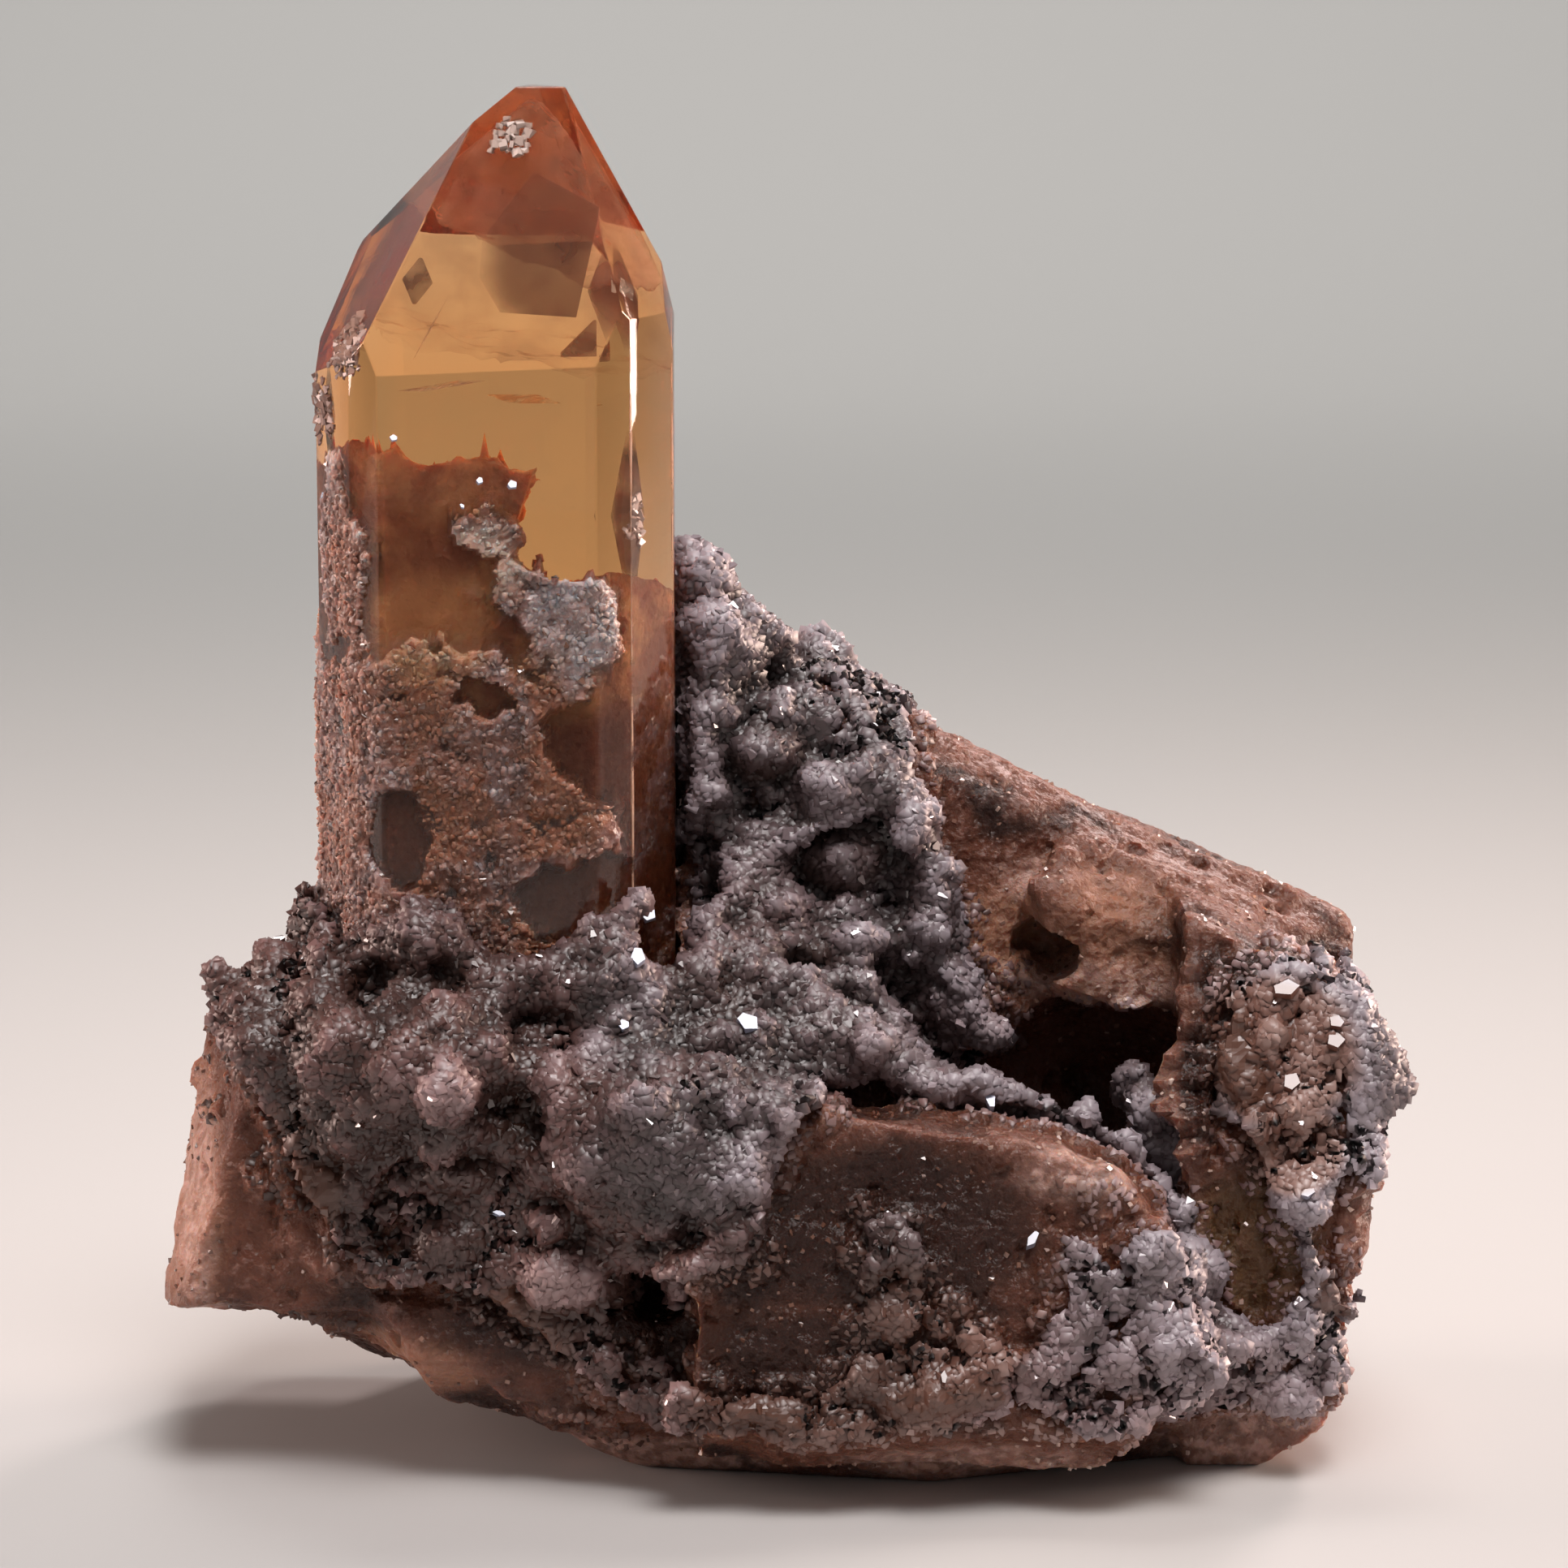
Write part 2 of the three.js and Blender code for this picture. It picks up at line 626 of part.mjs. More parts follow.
// Druse grown flat on the upright crystal, as [x, y, z, radius] in groups of one face's normal.
const PATCHES = [
  {
    around: -89,
    places: [
      [-8.3, -3.6, 26.6, 1], [-6, -3.6, 25.2, 1.2], [-5.7, -3.6, 23.7, 1.1], [-7.4, -3.6, 24.4, 1],
      [-6.3, -3.6, 22.5, 0.9], [-8.4, -3.6, 22.5, 1.1], [-9.8, -3.6, 21.8, 0.9],
      [-10.2, -3.6, 23.9, 0.9], [-7.5, -3.6, 20.9, 1], [-8.6, -3.6, 20.2, 1.1],
      [-7.2, -3.6, 18.8, 1.2], [-9.1, -3.6, 18.3, 1.2], [-6.3, -3.6, 17.6, 1],
    ],
  },
  {
    around: -143,
    places: [
      [-12.2, -2.4, 27.7, 0.9], [-12.1, -2.4, 26.1, 1], [-12.3, -2.4, 24.4, 1.1],
      [-12.1, -2.4, 22.6, 1.1], [-12.3, -2.4, 20.7, 1.1], [-12.3, -2.4, 18.8, 1.2],
    ],
  },
  {
    around: 180,
    places: [
      [-13.2, -0.6, 28.1, 0.7], [-13.2, -0.6, 26.5, 0.8], [-13.2, -0.6, 24.6, 0.8],
      [-13.2, -0.6, 22.3, 0.9], [-13.2, -0.6, 19.9, 0.9], [-13.3, -0.6, 17.8, 1],
    ],
  },
];

const NICHE = { at: [-11, -4.2, 19.6], size: [0.8, 1.2, 1.9], seed: 11 }; // dark, in the patches
const HOLLOW = { at: [8.8, -0.6, 9.6], size: [5, 4.6, 3.4], seed: 5 }; // under the back crystal
const NOOK = { at: [7.7, 1.4, 14.2], size: [1.1, 2, 1], seed: 8 }; // a hole into it above that

// ---------------------------------------------------------------- the three nodes

const FRONT = new THREE.Vector3(0, -1, 0.2);
const BACK = new THREE.Vector3(0, 1, 0.3);

/** The upright crystal with the druse grown on its faces; `grow` moves every surface of it out. */
function uprightCrystal(grow = 0) {
  const random = seededRandom(3);
  const patches = PATCHES.flatMap(({ around, places }) =>
    places.map(([x, y, z, radius]) => patch([x, y, z, radius + grow / PATCH_THICKNESS], around, random)),
  );
  return crystal(UPRIGHT, grow).add(joined(patches));
}

/** The recumbent crystals, grown through each other round the hollow. */
function baseCrystals(grow = 0) {
  const grown = joined(BASE_CRYSTALS.map((shape) => crystal(shape, grow)));
  const nook = unevenSpace(NOOK, Math.min(grow, NOOK_SHRINK));
  return grown.subtract(unevenSpace(HOLLOW, grow)).subtract(nook);
}

/** The druse: a coat on the base crystals, with ridges of lumps on it and pits in it. */
function druseCrust() {
  const random = seededRandom(7);
  const coat = baseCrystals(CLEARANCE + COAT).intersect(joined(COATED.map(region)));
  const rows = [
    ...LEFT_RIDGES,
    ...CENTRE_RIDGES,
    ...SADDLE_RIDGES,
    ...BACK_RIDGES,
    ...RIGHT_RIDGES,
    ...FOOT_RIDGES,
    ...HOLLOW_RIDGES,
  ];
  const inFront = ridges(rows, FRONT, random);
  const behind = ridges(REAR_RIDGES, BACK, random);
  const pits = PITS.map((place) => lump(place, random));
  const crust = joined([coat, ...inFront, ...behind]).subtract(joined(pits));
  return largestBody(crust.subtract(baseCrystals(CLEARANCE)).subtract(uprightCrystal(CLEARANCE)));
}

/** A named sub-part. */
function node(name, solid, color, roughness) {
  const material = new THREE.MeshStandardMaterial({ color, roughness, metalness: 0 });
  const mesh = new THREE.Mesh(geometryOf(solid), material);
  mesh.name = name;
  return mesh;
}

const upright = uprightCrystal().subtract(unevenSpace(NICHE));
const base = largestBody(baseCrystals().subtract(crystal(UPRIGHT, CLEARANCE)));

const specimen = new THREE.Group();
specimen.add(
  node("upright_crystal", upright, COLOURS.topaz, 0.1),
  node("base_crystals", base, COLOURS.base, 0.4),
  node("druse_crust", druseCrust(), COLOURS.druse, 0.6),
);

export default specimen;
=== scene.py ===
"""The looks of a topaz crystal specimen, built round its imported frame.

A clear upright crystal stands on a cluster of clouded brown crystals, and a crust of sugary druse
wraps their foot. Shapes are made in millimetres, and settled into the frame's metres at the end.
"""

from __future__ import annotations

import logging
import math
from dataclasses import dataclass
from enum import Enum
from functools import reduce
from typing import Any

import bpy
from mathutils import Euler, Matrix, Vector

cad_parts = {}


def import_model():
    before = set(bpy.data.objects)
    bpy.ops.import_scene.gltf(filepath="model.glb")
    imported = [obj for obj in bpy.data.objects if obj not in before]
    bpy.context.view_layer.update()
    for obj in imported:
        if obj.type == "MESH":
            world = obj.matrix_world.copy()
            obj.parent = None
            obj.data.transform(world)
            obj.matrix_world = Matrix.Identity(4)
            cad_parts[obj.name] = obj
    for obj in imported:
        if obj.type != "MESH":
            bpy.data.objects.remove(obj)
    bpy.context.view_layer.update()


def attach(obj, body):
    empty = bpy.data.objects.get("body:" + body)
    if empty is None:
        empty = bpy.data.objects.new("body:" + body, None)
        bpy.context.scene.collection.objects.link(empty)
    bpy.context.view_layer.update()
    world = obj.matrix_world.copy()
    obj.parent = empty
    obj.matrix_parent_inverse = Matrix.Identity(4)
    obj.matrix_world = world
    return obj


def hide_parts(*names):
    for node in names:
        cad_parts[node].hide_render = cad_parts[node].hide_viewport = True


Triple = tuple[float, float, float]
Settings = dict[str, Any]
Inputs = dict[str | int, Any]
Socket = bpy.types.NodeSocket
Material = bpy.types.Material
Piece = bpy.types.Object

LOG = logging.getLogger("topaz")
MM = 0.001  # metres in a millimetre
BODY = "root"
FAR = 99.0  # beyond the specimen, in millimetres
TOPAZ_IOR = 1.62
EDGE_ANGLE = math.radians(8)  # two crystal faces that meet at more than this have an edge
HALF = (0.5, 0.5, 0.5)  # the middle of a noise's colours


class Slot(Enum):
    """The record's material slots."""

    CLEAR = "clear_topaz"
    BROWN = "brown_topaz"
    DRUSE = "druse"


# ---------------------------------------------------------------- node trees


class Signal:
    """A number socket of a node tree, on which Python's operators add Math nodes."""

    def __init__(self, graph: Graph, socket: Socket) -> None:
        """Wraps a socket that gives a number."""
        self.graph = graph
        self.socket = socket

    def math(self, operation: str, *values: float | Signal) -> Signal:
        """Adds one Math node of an operation and gives its result."""
        return self.graph.signal("ShaderNodeMath", {"operation": operation}, dict(enumerate(values)))

    def __add__(self, other: float | Signal) -> Signal:
        """Adds two numbers."""
        return self.math("ADD", self, other)

    def __sub__(self, other: float | Signal) -> Signal:
        """Takes a number away."""
        return self.math("SUBTRACT", self, other)

    def __rsub__(self, other: float) -> Signal:
        """Takes this number away from another."""
        return self.math("SUBTRACT", other, self)

    def __mul__(self, other: float | Signal) -> Signal:
        """Multiplies two numbers."""
        return self.math("MULTIPLY", self, other)

    def __pow__(self, power: float) -> Signal:
        """Raises this number to a power."""
        return self.math("POWER", self, power)

    __radd__ = __add__
    __rmul__ = __mul__

    def at_least(self, other: float | Signal) -> Signal:
        """The larger of two numbers."""
        return self.math("MAXIMUM", self, other)

    def at_most(self, other: float | Signal) -> Signal:
        """The smaller of two numbers."""
        return self.math("MINIMUM", self, other)

    def rise(self, low: float, high: float) -> Signal:
        """Turns this number into a mask.

        Args:
            low: where the mask is 0. It may be above `high`, and the mask then falls.
            high: where the mask is 1.

        Returns:
            The smooth mask.
        """
        falls = low > high
        settings = {"interpolation_type": "SMOOTHSTEP"}
        inputs = {"Value": self, "From Min": min(low, high), "From Max": max(low, high)}
        mask = self.graph.signal("ShaderNodeMapRange", settings, inputs, "Result")
        return 1 - mask if falls else mask


@dataclass(frozen=True)
class Place:
    """A round place on the specimen, in millimetres.

    Its mask fades from `edge` of its reach outwards. `height` is how far the surface rises there.
    """

    centre: Triple
    reach: Triple
    height: float = 0.0
    edge: float = 0.5

    @classmethod
    def rows(cls, *rows: tuple[float, ...]) -> list[Place]:
        """Makes places of rows: the centre's X, Y and Z, the reach along each, and maybe the height."""
        return [cls(row[:3], row[3:6], *row[6:]) for row in rows]


class Graph:
    """A node tree that grows one node at a time."""

    def __init__(self, tree: bpy.types.NodeTree) -> None:
        """Starts on a tree."""
        self.tree = tree

    def node(
        self, kind: str, settings: Settings | None = None, inputs: Inputs | None = None
    ) -> bpy.types.Node:
        """Adds a node.

        Args:
            kind: the node's type.
            settings: its properties, and a ramp's `stops` as pairs of place and colour.
            inputs: a value, socket or signal for each input, by the input's name or number.

        Returns:
            The node.
        """
        node = self.tree.nodes.new(kind)
        for name, value in (settings or {}).items():
            if name == "stops":
                self._set_stops(node.color_ramp, value)
            else:
                setattr(node, name, value)
        for key, value in (inputs or {}).items():
            self._feed(self._entry(node, key), value)
        return node

    def _set_stops(self, ramp: bpy.types.ColorRamp, stops: list[tuple[float, Triple]]) -> None:
        """Gives a colour ramp its stops."""
        while len(ramp.elements) < len(stops):
            ramp.elements.new(1)
        for element, (place, colour) in zip(ramp.elements, stops):
            element.position = place
            element.color = (*colour, 1)

    def _entry(self, node: bpy.types.Node, key: str | int) -> Socket:
        """The input of a node with a number, or the first one in use with a name."""
        if isinstance(key, int):
            return node.inputs[key]
        return next(socket for socket in node.inputs if socket.enabled and socket.name == key)

    def _feed(self, entry: Socket, value: Any) -> None:
        """Links a socket or signal to an input, or sets the input's own value."""
        if isinstance(value, Signal):
            value = value.socket
        if isinstance(value, Socket):
            self.tree.links.new(value, entry)
        elif entry.type == "RGBA":
            entry.default_value = (*value, 1)
        else:
            entry.default_value = value

    def socket(
        self,
        kind: str,
        settings: Settings | None = None,
        inputs: Inputs | None = None,
        output: str | None = None,
    ) -> Socket:
        """Adds a node and gives one output of it: the named one, or the first in use."""
        node = self.node(kind, settings, inputs)
        return next(s for s in node.outputs if s.enabled and output in (None, s.name))

    def signal(
        self,
        kind: str,
        settings: Settings | None = None,
        inputs: Inputs | None = None,
        output: str | None = None,
    ) -> Signal:
        """Adds a node and gives one output of it as a number."""
        return Signal(self, self.socket(kind, settings, inputs, output))

    def vector(self, operation: str, *values: Any) -> Socket:
        """Adds a Vector Math node and gives its vector."""
        inputs: Inputs = dict(enumerate(values))
        if operation == "SCALE":
            inputs = {0: values[0], "Scale": values[1]}
        return self.socket("ShaderNodeVectorMath", {"operation": operation}, inputs, "Vector")

    def dot(self, a: Any, b: Any) -> Signal:
        """The dot product of two vectors."""
        return self.signal("ShaderNodeVectorMath", {"operation": "DOT_PRODUCT"}, {0: a, 1: b}, "Value")

    def mix(self, a: Any, b: Any, share: float | Signal) -> Socket:
        """Mixes two colours: it gives `a` where `share` is 0, and `b` where it is 1."""
        inputs = {"Factor": share, "A": a, "B": b}
        return self.socket("ShaderNodeMix", {"data_type": "RGBA"}, inputs, "Result")

    def noise(self, point: Any, scale: float, detail: float = 3, distortion: float = 0) -> Signal:
        """Soft noise between about 0.2 and 0.8.

        Args:
            point: where it is read, in millimetres.
            scale: its waves to a millimetre.
            detail: how many finer layers it has.
            distortion: how much it swirls.

        Returns:
            The noise.
        """
        inputs = {"Vector": point, "Scale": scale, "Detail": detail, "Distortion": distortion}
        return self.signal("ShaderNodeTexNoise", None, inputs)

    def cells(self, point: Any, scale: float, smooth: float = 0) -> Signal:
        """The distance to the middle of the nearest cell, in cells; `smooth` rounds the borders."""
        settings = {"feature": "SMOOTH_F1" if smooth else "F1"}
        inputs = {"Vector": point, "Scale": scale}
        if smooth:
            inputs["Smoothness"] = smooth
        return self.signal("ShaderNodeTexVoronoi", settings, inputs, "Distance")

    def warped(self, point: Any, scale: float, amount: float) -> Socket:
        """A point pushed about by soft noise, so that a pattern read there loses its regularity.

        Args:
            point: the point, in millimetres.
            scale: the noise's waves to a millimetre.
            amount: about how far a point is pushed, in millimetres.

        Returns:
            The pushed point.
        """
        inputs = {"Vector": point, "Scale": scale, "Detail": 2}
        colour = self.socket("ShaderNodeTexNoise", None, inputs, "Color")
        push = self.vector("SCALE", self.vector("SUBTRACT", colour, HALF), 4 * amount)
        return self.vector("ADD", point, push)

    def part(self, vector: Any, axis: str) -> Signal:
        """The X, Y or Z of a vector."""
        return self.signal("ShaderNodeSeparateXYZ", None, {0: vector}, axis)

    def upward(self, height: Signal) -> Socket:
        """A vector that points up, with a height."""
        return self.socket("ShaderNodeCombineXYZ", None, {"Z": height})

    def near(self, point: Any, centre: Triple, reach: Triple, edge: float = 0.5) -> Signal:
        """A soft mask round a place.

        Args:
            point: where it is read, in millimetres.
            centre: the middle of the place.
            reach: how far it reaches along X, Y and Z.
            edge: the share of its reach where it starts to fade.

        Returns:
            The mask, 1 in the middle and 0 beyond its reach.
        """
        off = self.vector("SUBTRACT", point, centre)
        shares = self.vector("DIVIDE", off, reach)
        far = self.signal("ShaderNodeVectorMath", {"operation": "LENGTH"}, {0: shares}, "Value")
        return far.rise(1, edge)

    def near_any(self, point: Any, places: list[Place]) -> Signal:
        """A soft mask round any of several places."""
        masks = [self.near(point, place.centre, place.reach, place.edge) for place in places]
        return reduce(Signal.at_least, masks)


class Shaping(Graph):
    """A Geometry Nodes modifier that is built, applied and thrown away."""

    def __init__(self, piece: Piece) -> None:
        """Starts a modifier for a piece."""
        tree = bpy.data.node_groups.new("shaping", "GeometryNodeTree")
        tree.is_modifier = True
        for way in ("INPUT", "OUTPUT"):
            tree.interface.new_socket("Geometry", in_out=way, socket_type="NodeSocketGeometry")
        super().__init__(tree)
        self.piece = piece
        self.geometry = self.node("NodeGroupInput").outputs[0]
        self.point = self.socket("GeometryNodeInputPosition")
        self.normal = self.socket("GeometryNodeInputNormal")

    def move(self, offset: Socket) -> None:
        """Moves every point by an offset in millimetres."""
        inputs = {"Geometry": self.geometry, "Offset": offset}
        self.geometry = self.socket("GeometryNodeSetPosition", None, inputs)

    def raise_surface(self, height: Signal) -> None:
        """Moves the surface out along its normals by a height in millimetres."""
        self.move(self.vector("SCALE", self.normal, height))

    def store(self, name: str, value: Signal, domain: str = "POINT") -> None:
        """Stores a number on the mesh for its material or for what grows on it."""
        settings = {"data_type": "FLOAT", "domain": domain}
        inputs = {"Geometry": self.geometry, "Name": name, "Value": value}
        self.geometry = self.socket("GeometryNodeStoreNamedAttribute", settings, inputs)

    def stored(self, name: str) -> Signal:
        """Reads a stored number."""
        return self.signal("GeometryNodeInputNamedAttribute", {"data_type": "FLOAT"}, {"Name": name})

    def relief(self, rounds: int) -> Signal:
        """How far the surface stands out from its surroundings, in millimetres."""
        settings = {"data_type": "FLOAT_VECTOR"}
        inputs = {"Value": self.point, "Iterations": rounds}
        calm = self.socket("GeometryNodeBlurAttribute", settings, inputs)
        return self.dot(self.vector("SUBTRACT", self.point, calm), self.normal)

    def spread(self, value: Signal, rounds: int) -> Signal:
        """Spreads a number over the surface round it."""
        inputs = {"Value": value, "Iterations": rounds}
        return self.signal("GeometryNodeBlurAttribute", {"data_type": "FLOAT"}, inputs)

    def distance_to(self, other: Piece) -> Signal:
        """The distance to another piece's surface, in millimetres."""
        shape = self.socket("GeometryNodeObjectInfo", None, {"Object": other}, "Geometry")
        return self.signal("GeometryNodeProximity", None, {0: shape}, "Distance")

    def apply(self) -> None:
        """Applies the modifier to the piece."""
        self.node("NodeGroupOutput", None, {0: self.geometry})
        modifier = self.piece.modifiers.new("shaping", "NODES")
        modifier.node_group = self.tree
        apply_modifiers(self.piece)
        bpy.data.node_groups.remove(self.tree)


# ---------------------------------------------------------------- the workbench


def select_only(piece: Piece) -> None:
    """Deselects everything, then selects a piece and makes it the active one."""
    bpy.ops.object.select_all(action="DESELECT")
    piece.select_set(True)
    bpy.context.view_layer.objects.active = piece


def apply_modifiers(piece: Piece) -> None:
    """Applies all of a piece's modifiers, in order."""
    select_only(piece)
    for modifier in list(piece.modifiers):
        bpy.ops.object.modifier_apply(modifier=modifier.name)


def named(name: str) -> Piece:
    """Names the active object and its mesh, and gives the object."""
    piece = bpy.context.object
    piece.name = name
    piece.data.name = name
    return piece


def placed(
    piece: Piece, scale: Triple, turn: Triple | Euler = (0, 0, 0), place: Triple | Vector = (0, 0, 0)
) -> None:
    """Scales, turns and moves a piece, in its mesh.

    Args:
        piece: the piece, which is changed.
        scale: its scale along X, Y and Z.
        turn: its turns about X, Y and Z, in radians.
        place: where its origin goes.
    """
    select_only(piece)
    piece.scale, piece.rotation_euler, piece.location = scale, turn, place
    bpy.ops.object.transform_apply(location=True, rotation=True, scale=True)


def smooth(piece: Piece, sharp: float = math.pi) -> None:
    """Shades a piece smooth, save for the edges where its faces meet at more than an angle."""
    select_only(piece)
    if sharp < math.pi:
        bpy.ops.object.shade_smooth_by_angle(angle=sharp)
    else:
        bpy.ops.object.shade_smooth()


def cad_copy(node: str, name: str) -> Piece:
    """Copies a CAD node's mesh as a new piece in millimetres, with its corners merged.

    Args:
        node: the CAD node.
        name: the new piece's name.

    Returns:
        The new piece.
    """
    source = bpy.data.objects[node]
    piece = bpy.data.objects.new(name, source.data.copy())
    piece.data.materials.clear()
    bpy.context.scene.collection.objects.link(piece)
    placed(piece, (1 / MM,) * 3)
    bpy.ops.object.mode_set(mode="EDIT")
    bpy.ops.mesh.select_all(action="SELECT")
    bpy.ops.mesh.remove_doubles(threshold=0.001)
    bpy.ops.object.mode_set(mode="OBJECT")
    return piece


def even_mesh(piece: Piece, step: float, calm: int = 0) -> None:
    """Gives a closed piece a mesh of even squares.

    Args:
        piece: the piece, in millimetres.
        step: the side of a square.
        calm: how many rounds of smoothing follow.
    """
    remesh = piece.modifiers.new("even mesh", "REMESH")
    remesh.mode = "VOXEL"
    remesh.voxel_size = step
    if calm:
        calming = piece.modifiers.new("calm", "SMOOTH")
        calming.iterations = calm
    apply_modifiers(piece)


def joined(pieces: list[Piece], name: str) -> Piece:
    """Joins pieces in one mesh."""
    select_only(pieces[0])
    for piece in pieces:
        piece.select_set(True)
    bpy.ops.object.join()
    return named(name)


def discard(piece: Piece) -> None:
    """Removes a helper that isn't part of the specimen."""
    bpy.data.objects.remove(piece)


@dataclass(frozen=True)
class Face:
    """A crystal face: which way it looks, and how far out it lies.

    `around` turns from +X and `from_axis` tilts from +Z, both in degrees. `out` is in millimetres.
    """

    around: float
    from_axis: float
    out: float

    @property
    def normal(self) -> Vector:
        """The way the face looks."""
        around, tilt = math.radians(self.around), math.radians(self.from_axis)
        flat = math.sin(tilt)
        return Vector((flat * math.cos(around), flat * math.sin(around), math.cos(tilt)))


def faceted(
    name: str, faces: list[Face], centre: Triple = (0, 0, 0), reach: float = 1, inset: float = 0
) -> Piece:
    """Cuts a block down to a crystal.

    Args:
        name: the piece's name.
        faces: the crystal's faces.
        centre: the point that the faces' distances are measured from.
        reach: half the side of the block that it is cut from.
        inset: how far every face is moved in.

    Returns:
        The closed crystal.
    """
    bpy.ops.object.select_all(action="DESELECT")
    bpy.ops.mesh.primitive_cube_add(size=2 * reach, location=centre)
    piece = named(name)
    bpy.ops.object.transform_apply(location=True)
    bpy.ops.object.mode_set(mode="EDIT")
    for face in faces:
        bpy.ops.mesh.select_all(action="SELECT")
        place = Vector(centre) + face.normal * (face.out - inset)
        bpy.ops.mesh.bisect(
            plane_co=place, plane_no=face.normal, use_fill=True, clear_outer=True, threshold=1e-5
        )
    bpy.ops.mesh.select_all(action="SELECT")
    bpy.ops.mesh.remove_doubles(threshold=1e-4)
    bpy.ops.mesh.normals_make_consistent(inside=False)
    bpy.ops.object.mode_set(mode="OBJECT")
    return piece


def bevel_edges(piece: Piece, width: float, segments: int = 2) -> None:
    """Rounds every edge of a crystal by a width in millimetres."""
    bevel = piece.modifiers.new("worn edges", "BEVEL")
    bevel.width = width
    bevel.segments = segments
    bevel.limit_method = "ANGLE"
    bevel.angle_limit = EDGE_ANGLE
    apply_modifiers(piece)


def settle(piece: Piece, material: Material, stands_for: str = "") -> None:
    """Puts a finished piece into the frame.

    Args:
        piece: the piece, in millimetres.
        material: its finish.
        stands_for: the CAD node that it replaces, if it does.
    """
    placed(piece, (MM,) * 3)
    piece.data.materials.clear()
    piece.data.materials.append(material)
    if stands_for:
        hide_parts(stands_for)
    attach(piece, BODY)
    piece.data.calc_loop_triangles()
    LOG.info("%s: %d triangles", piece.name, len(piece.data.loop_triangles))


# ---------------------------------------------------------------- finishes


class Shading(Graph):
    """A material that grows one node at a time. `point` is what is being shaded, in millimetres."""

    def __init__(self, name: str) -> None:
        """Starts an empty material."""
        self.material = bpy.data.materials.new(name)
        self.material.use_nodes = True
        super().__init__(self.material.node_tree)
        self.tree.nodes.clear()
        place = self.socket("ShaderNodeTexCoord", None, None, "Object")
        self.point = self.vector("SCALE", place, 1 / MM)

    def attribute(self, name: str) -> Signal:
        """A number stored on the mesh."""
        return self.signal("ShaderNodeAttribute", {"attribute_name": name}, None, "Fac")

    def own_normal(self) -> Socket:
        """The surface's own normal."""
        return self.socket("ShaderNodeNewGeometry", None, None, "Normal")

    def tilted(self, scale: float, amount: float) -> Socket:
        """The surface's normal, tilted another way in each cell, as where many small faces lie.

        Args:
            scale: the cells to a millimetre.
            amount: how far it tilts.

        Returns:
            The tilted normal.
        """
        inputs = {"Vector": self.point, "Scale": scale}
        colour = self.socket("ShaderNodeTexVoronoi", None, inputs, "Color")
        push = self.vector("SCALE", self.vector("SUBTRACT", colour, HALF), 2 * amount)
        return self.vector("NORMALIZE", self.vector("ADD", self.own_normal(), push))

    def calmed(self, normal: Socket, softness: float) -> Socket:
        """A grain's normal, turned towards that of the ground under it.

        Args:
            normal: the grain's own normal.
            softness: how far it turns; at 1 both weigh the same.

        Returns:
            The new normal, which is the old one where no ground's normal is stored.
        """
        ground = self.socket("ShaderNodeAttribute", {"attribute_name": "ground"}, None, "Vector")
        towards = self.vector("SCALE", ground, softness)
        return self.vector("NORMALIZE", self.vector("ADD", normal, towards))

    def bump(
        self, height: Signal, depth: float, strength: float = 1, normal: Socket | None = None
    ) -> Socket:
        """Adds a Bump node.

        Args:
            height: the height, from 0 to 1.
            depth: what a height of 1 is, in millimetres.
            strength: how much of it shows.
            normal: the normal that it starts from, if it isn't the surface's own.

        Returns:
            The bumped normal.
        """
        inputs: Inputs = {"Strength": strength, "Distance": depth * MM, "Height": height}
        if normal:
            inputs["Normal"] = normal
        return self.socket("ShaderNodeBump", None, inputs)

    def finished(self, inputs: Inputs, volume: Socket | None = None) -> Material:
        """Adds a Principled BSDF with topaz's refraction, and the output.

        Args:
            inputs: the BSDF's inputs.
            volume: the shader of what is inside, if it has one.

        Returns:
            The material.
        """
        surface = self.socket("ShaderNodeBsdfPrincipled", None, {"IOR": TOPAZ_IOR, **inputs})
        ends: Inputs = {"Surface": surface}
        if volume:
            ends["Volume"] = volume
        self.node("ShaderNodeOutputMaterial", None, ends)
        return self.material


@dataclass(frozen=True)
class ClearTopaz:
    """Clear sherry topaz: plain transmission, refraction and absorption, with faint striae."""

    roughness: float = 0.015
    kept_colour: Triple = (0.97, 0.665, 0.21)
    absorption: float = 285  # to a metre

    def make(self) -> Material:
        """Builds the material."""
        graph = Shading("clear topaz")
        lengthwise = graph.vector("MULTIPLY", graph.point, (4, 4, 0.1))
        striae = graph.noise(lengthwise, 1, 4)
        surface = {
            "Base Color": (1, 1, 1),
            "Roughness": self.roughness,
            "Transmission Weight": 1,
            "Normal": graph.bump(striae, 0.05, 0.06),
        }
        inside = {"Color": self.kept_colour, "Density": self.absorption}
        return graph.finished(surface, graph.socket("ShaderNodeVolumeAbsorption", None, inside))


@dataclass(frozen=True)
class Palette:
    """The colours of one kind of stone, from painted shade in its crevices to painted highlight on what
    stands out.
    """

    deep: Triple
    body: Triple
    pale: Triple
    bright: Triple

    def ramp(self, graph: Graph, lift: Signal) -> Socket:
        """The colour at a height over the surroundings, from 0 to 1: painted shade low down, painted
        highlight high up.
        """
        stops = [(0, self.deep), (0.36, self.body), (0.7, self.pale), (1, self.bright)]
        return graph.socket("ShaderNodeValToRGB", {"stops": stops}, {"Fac": lift}, "Color")
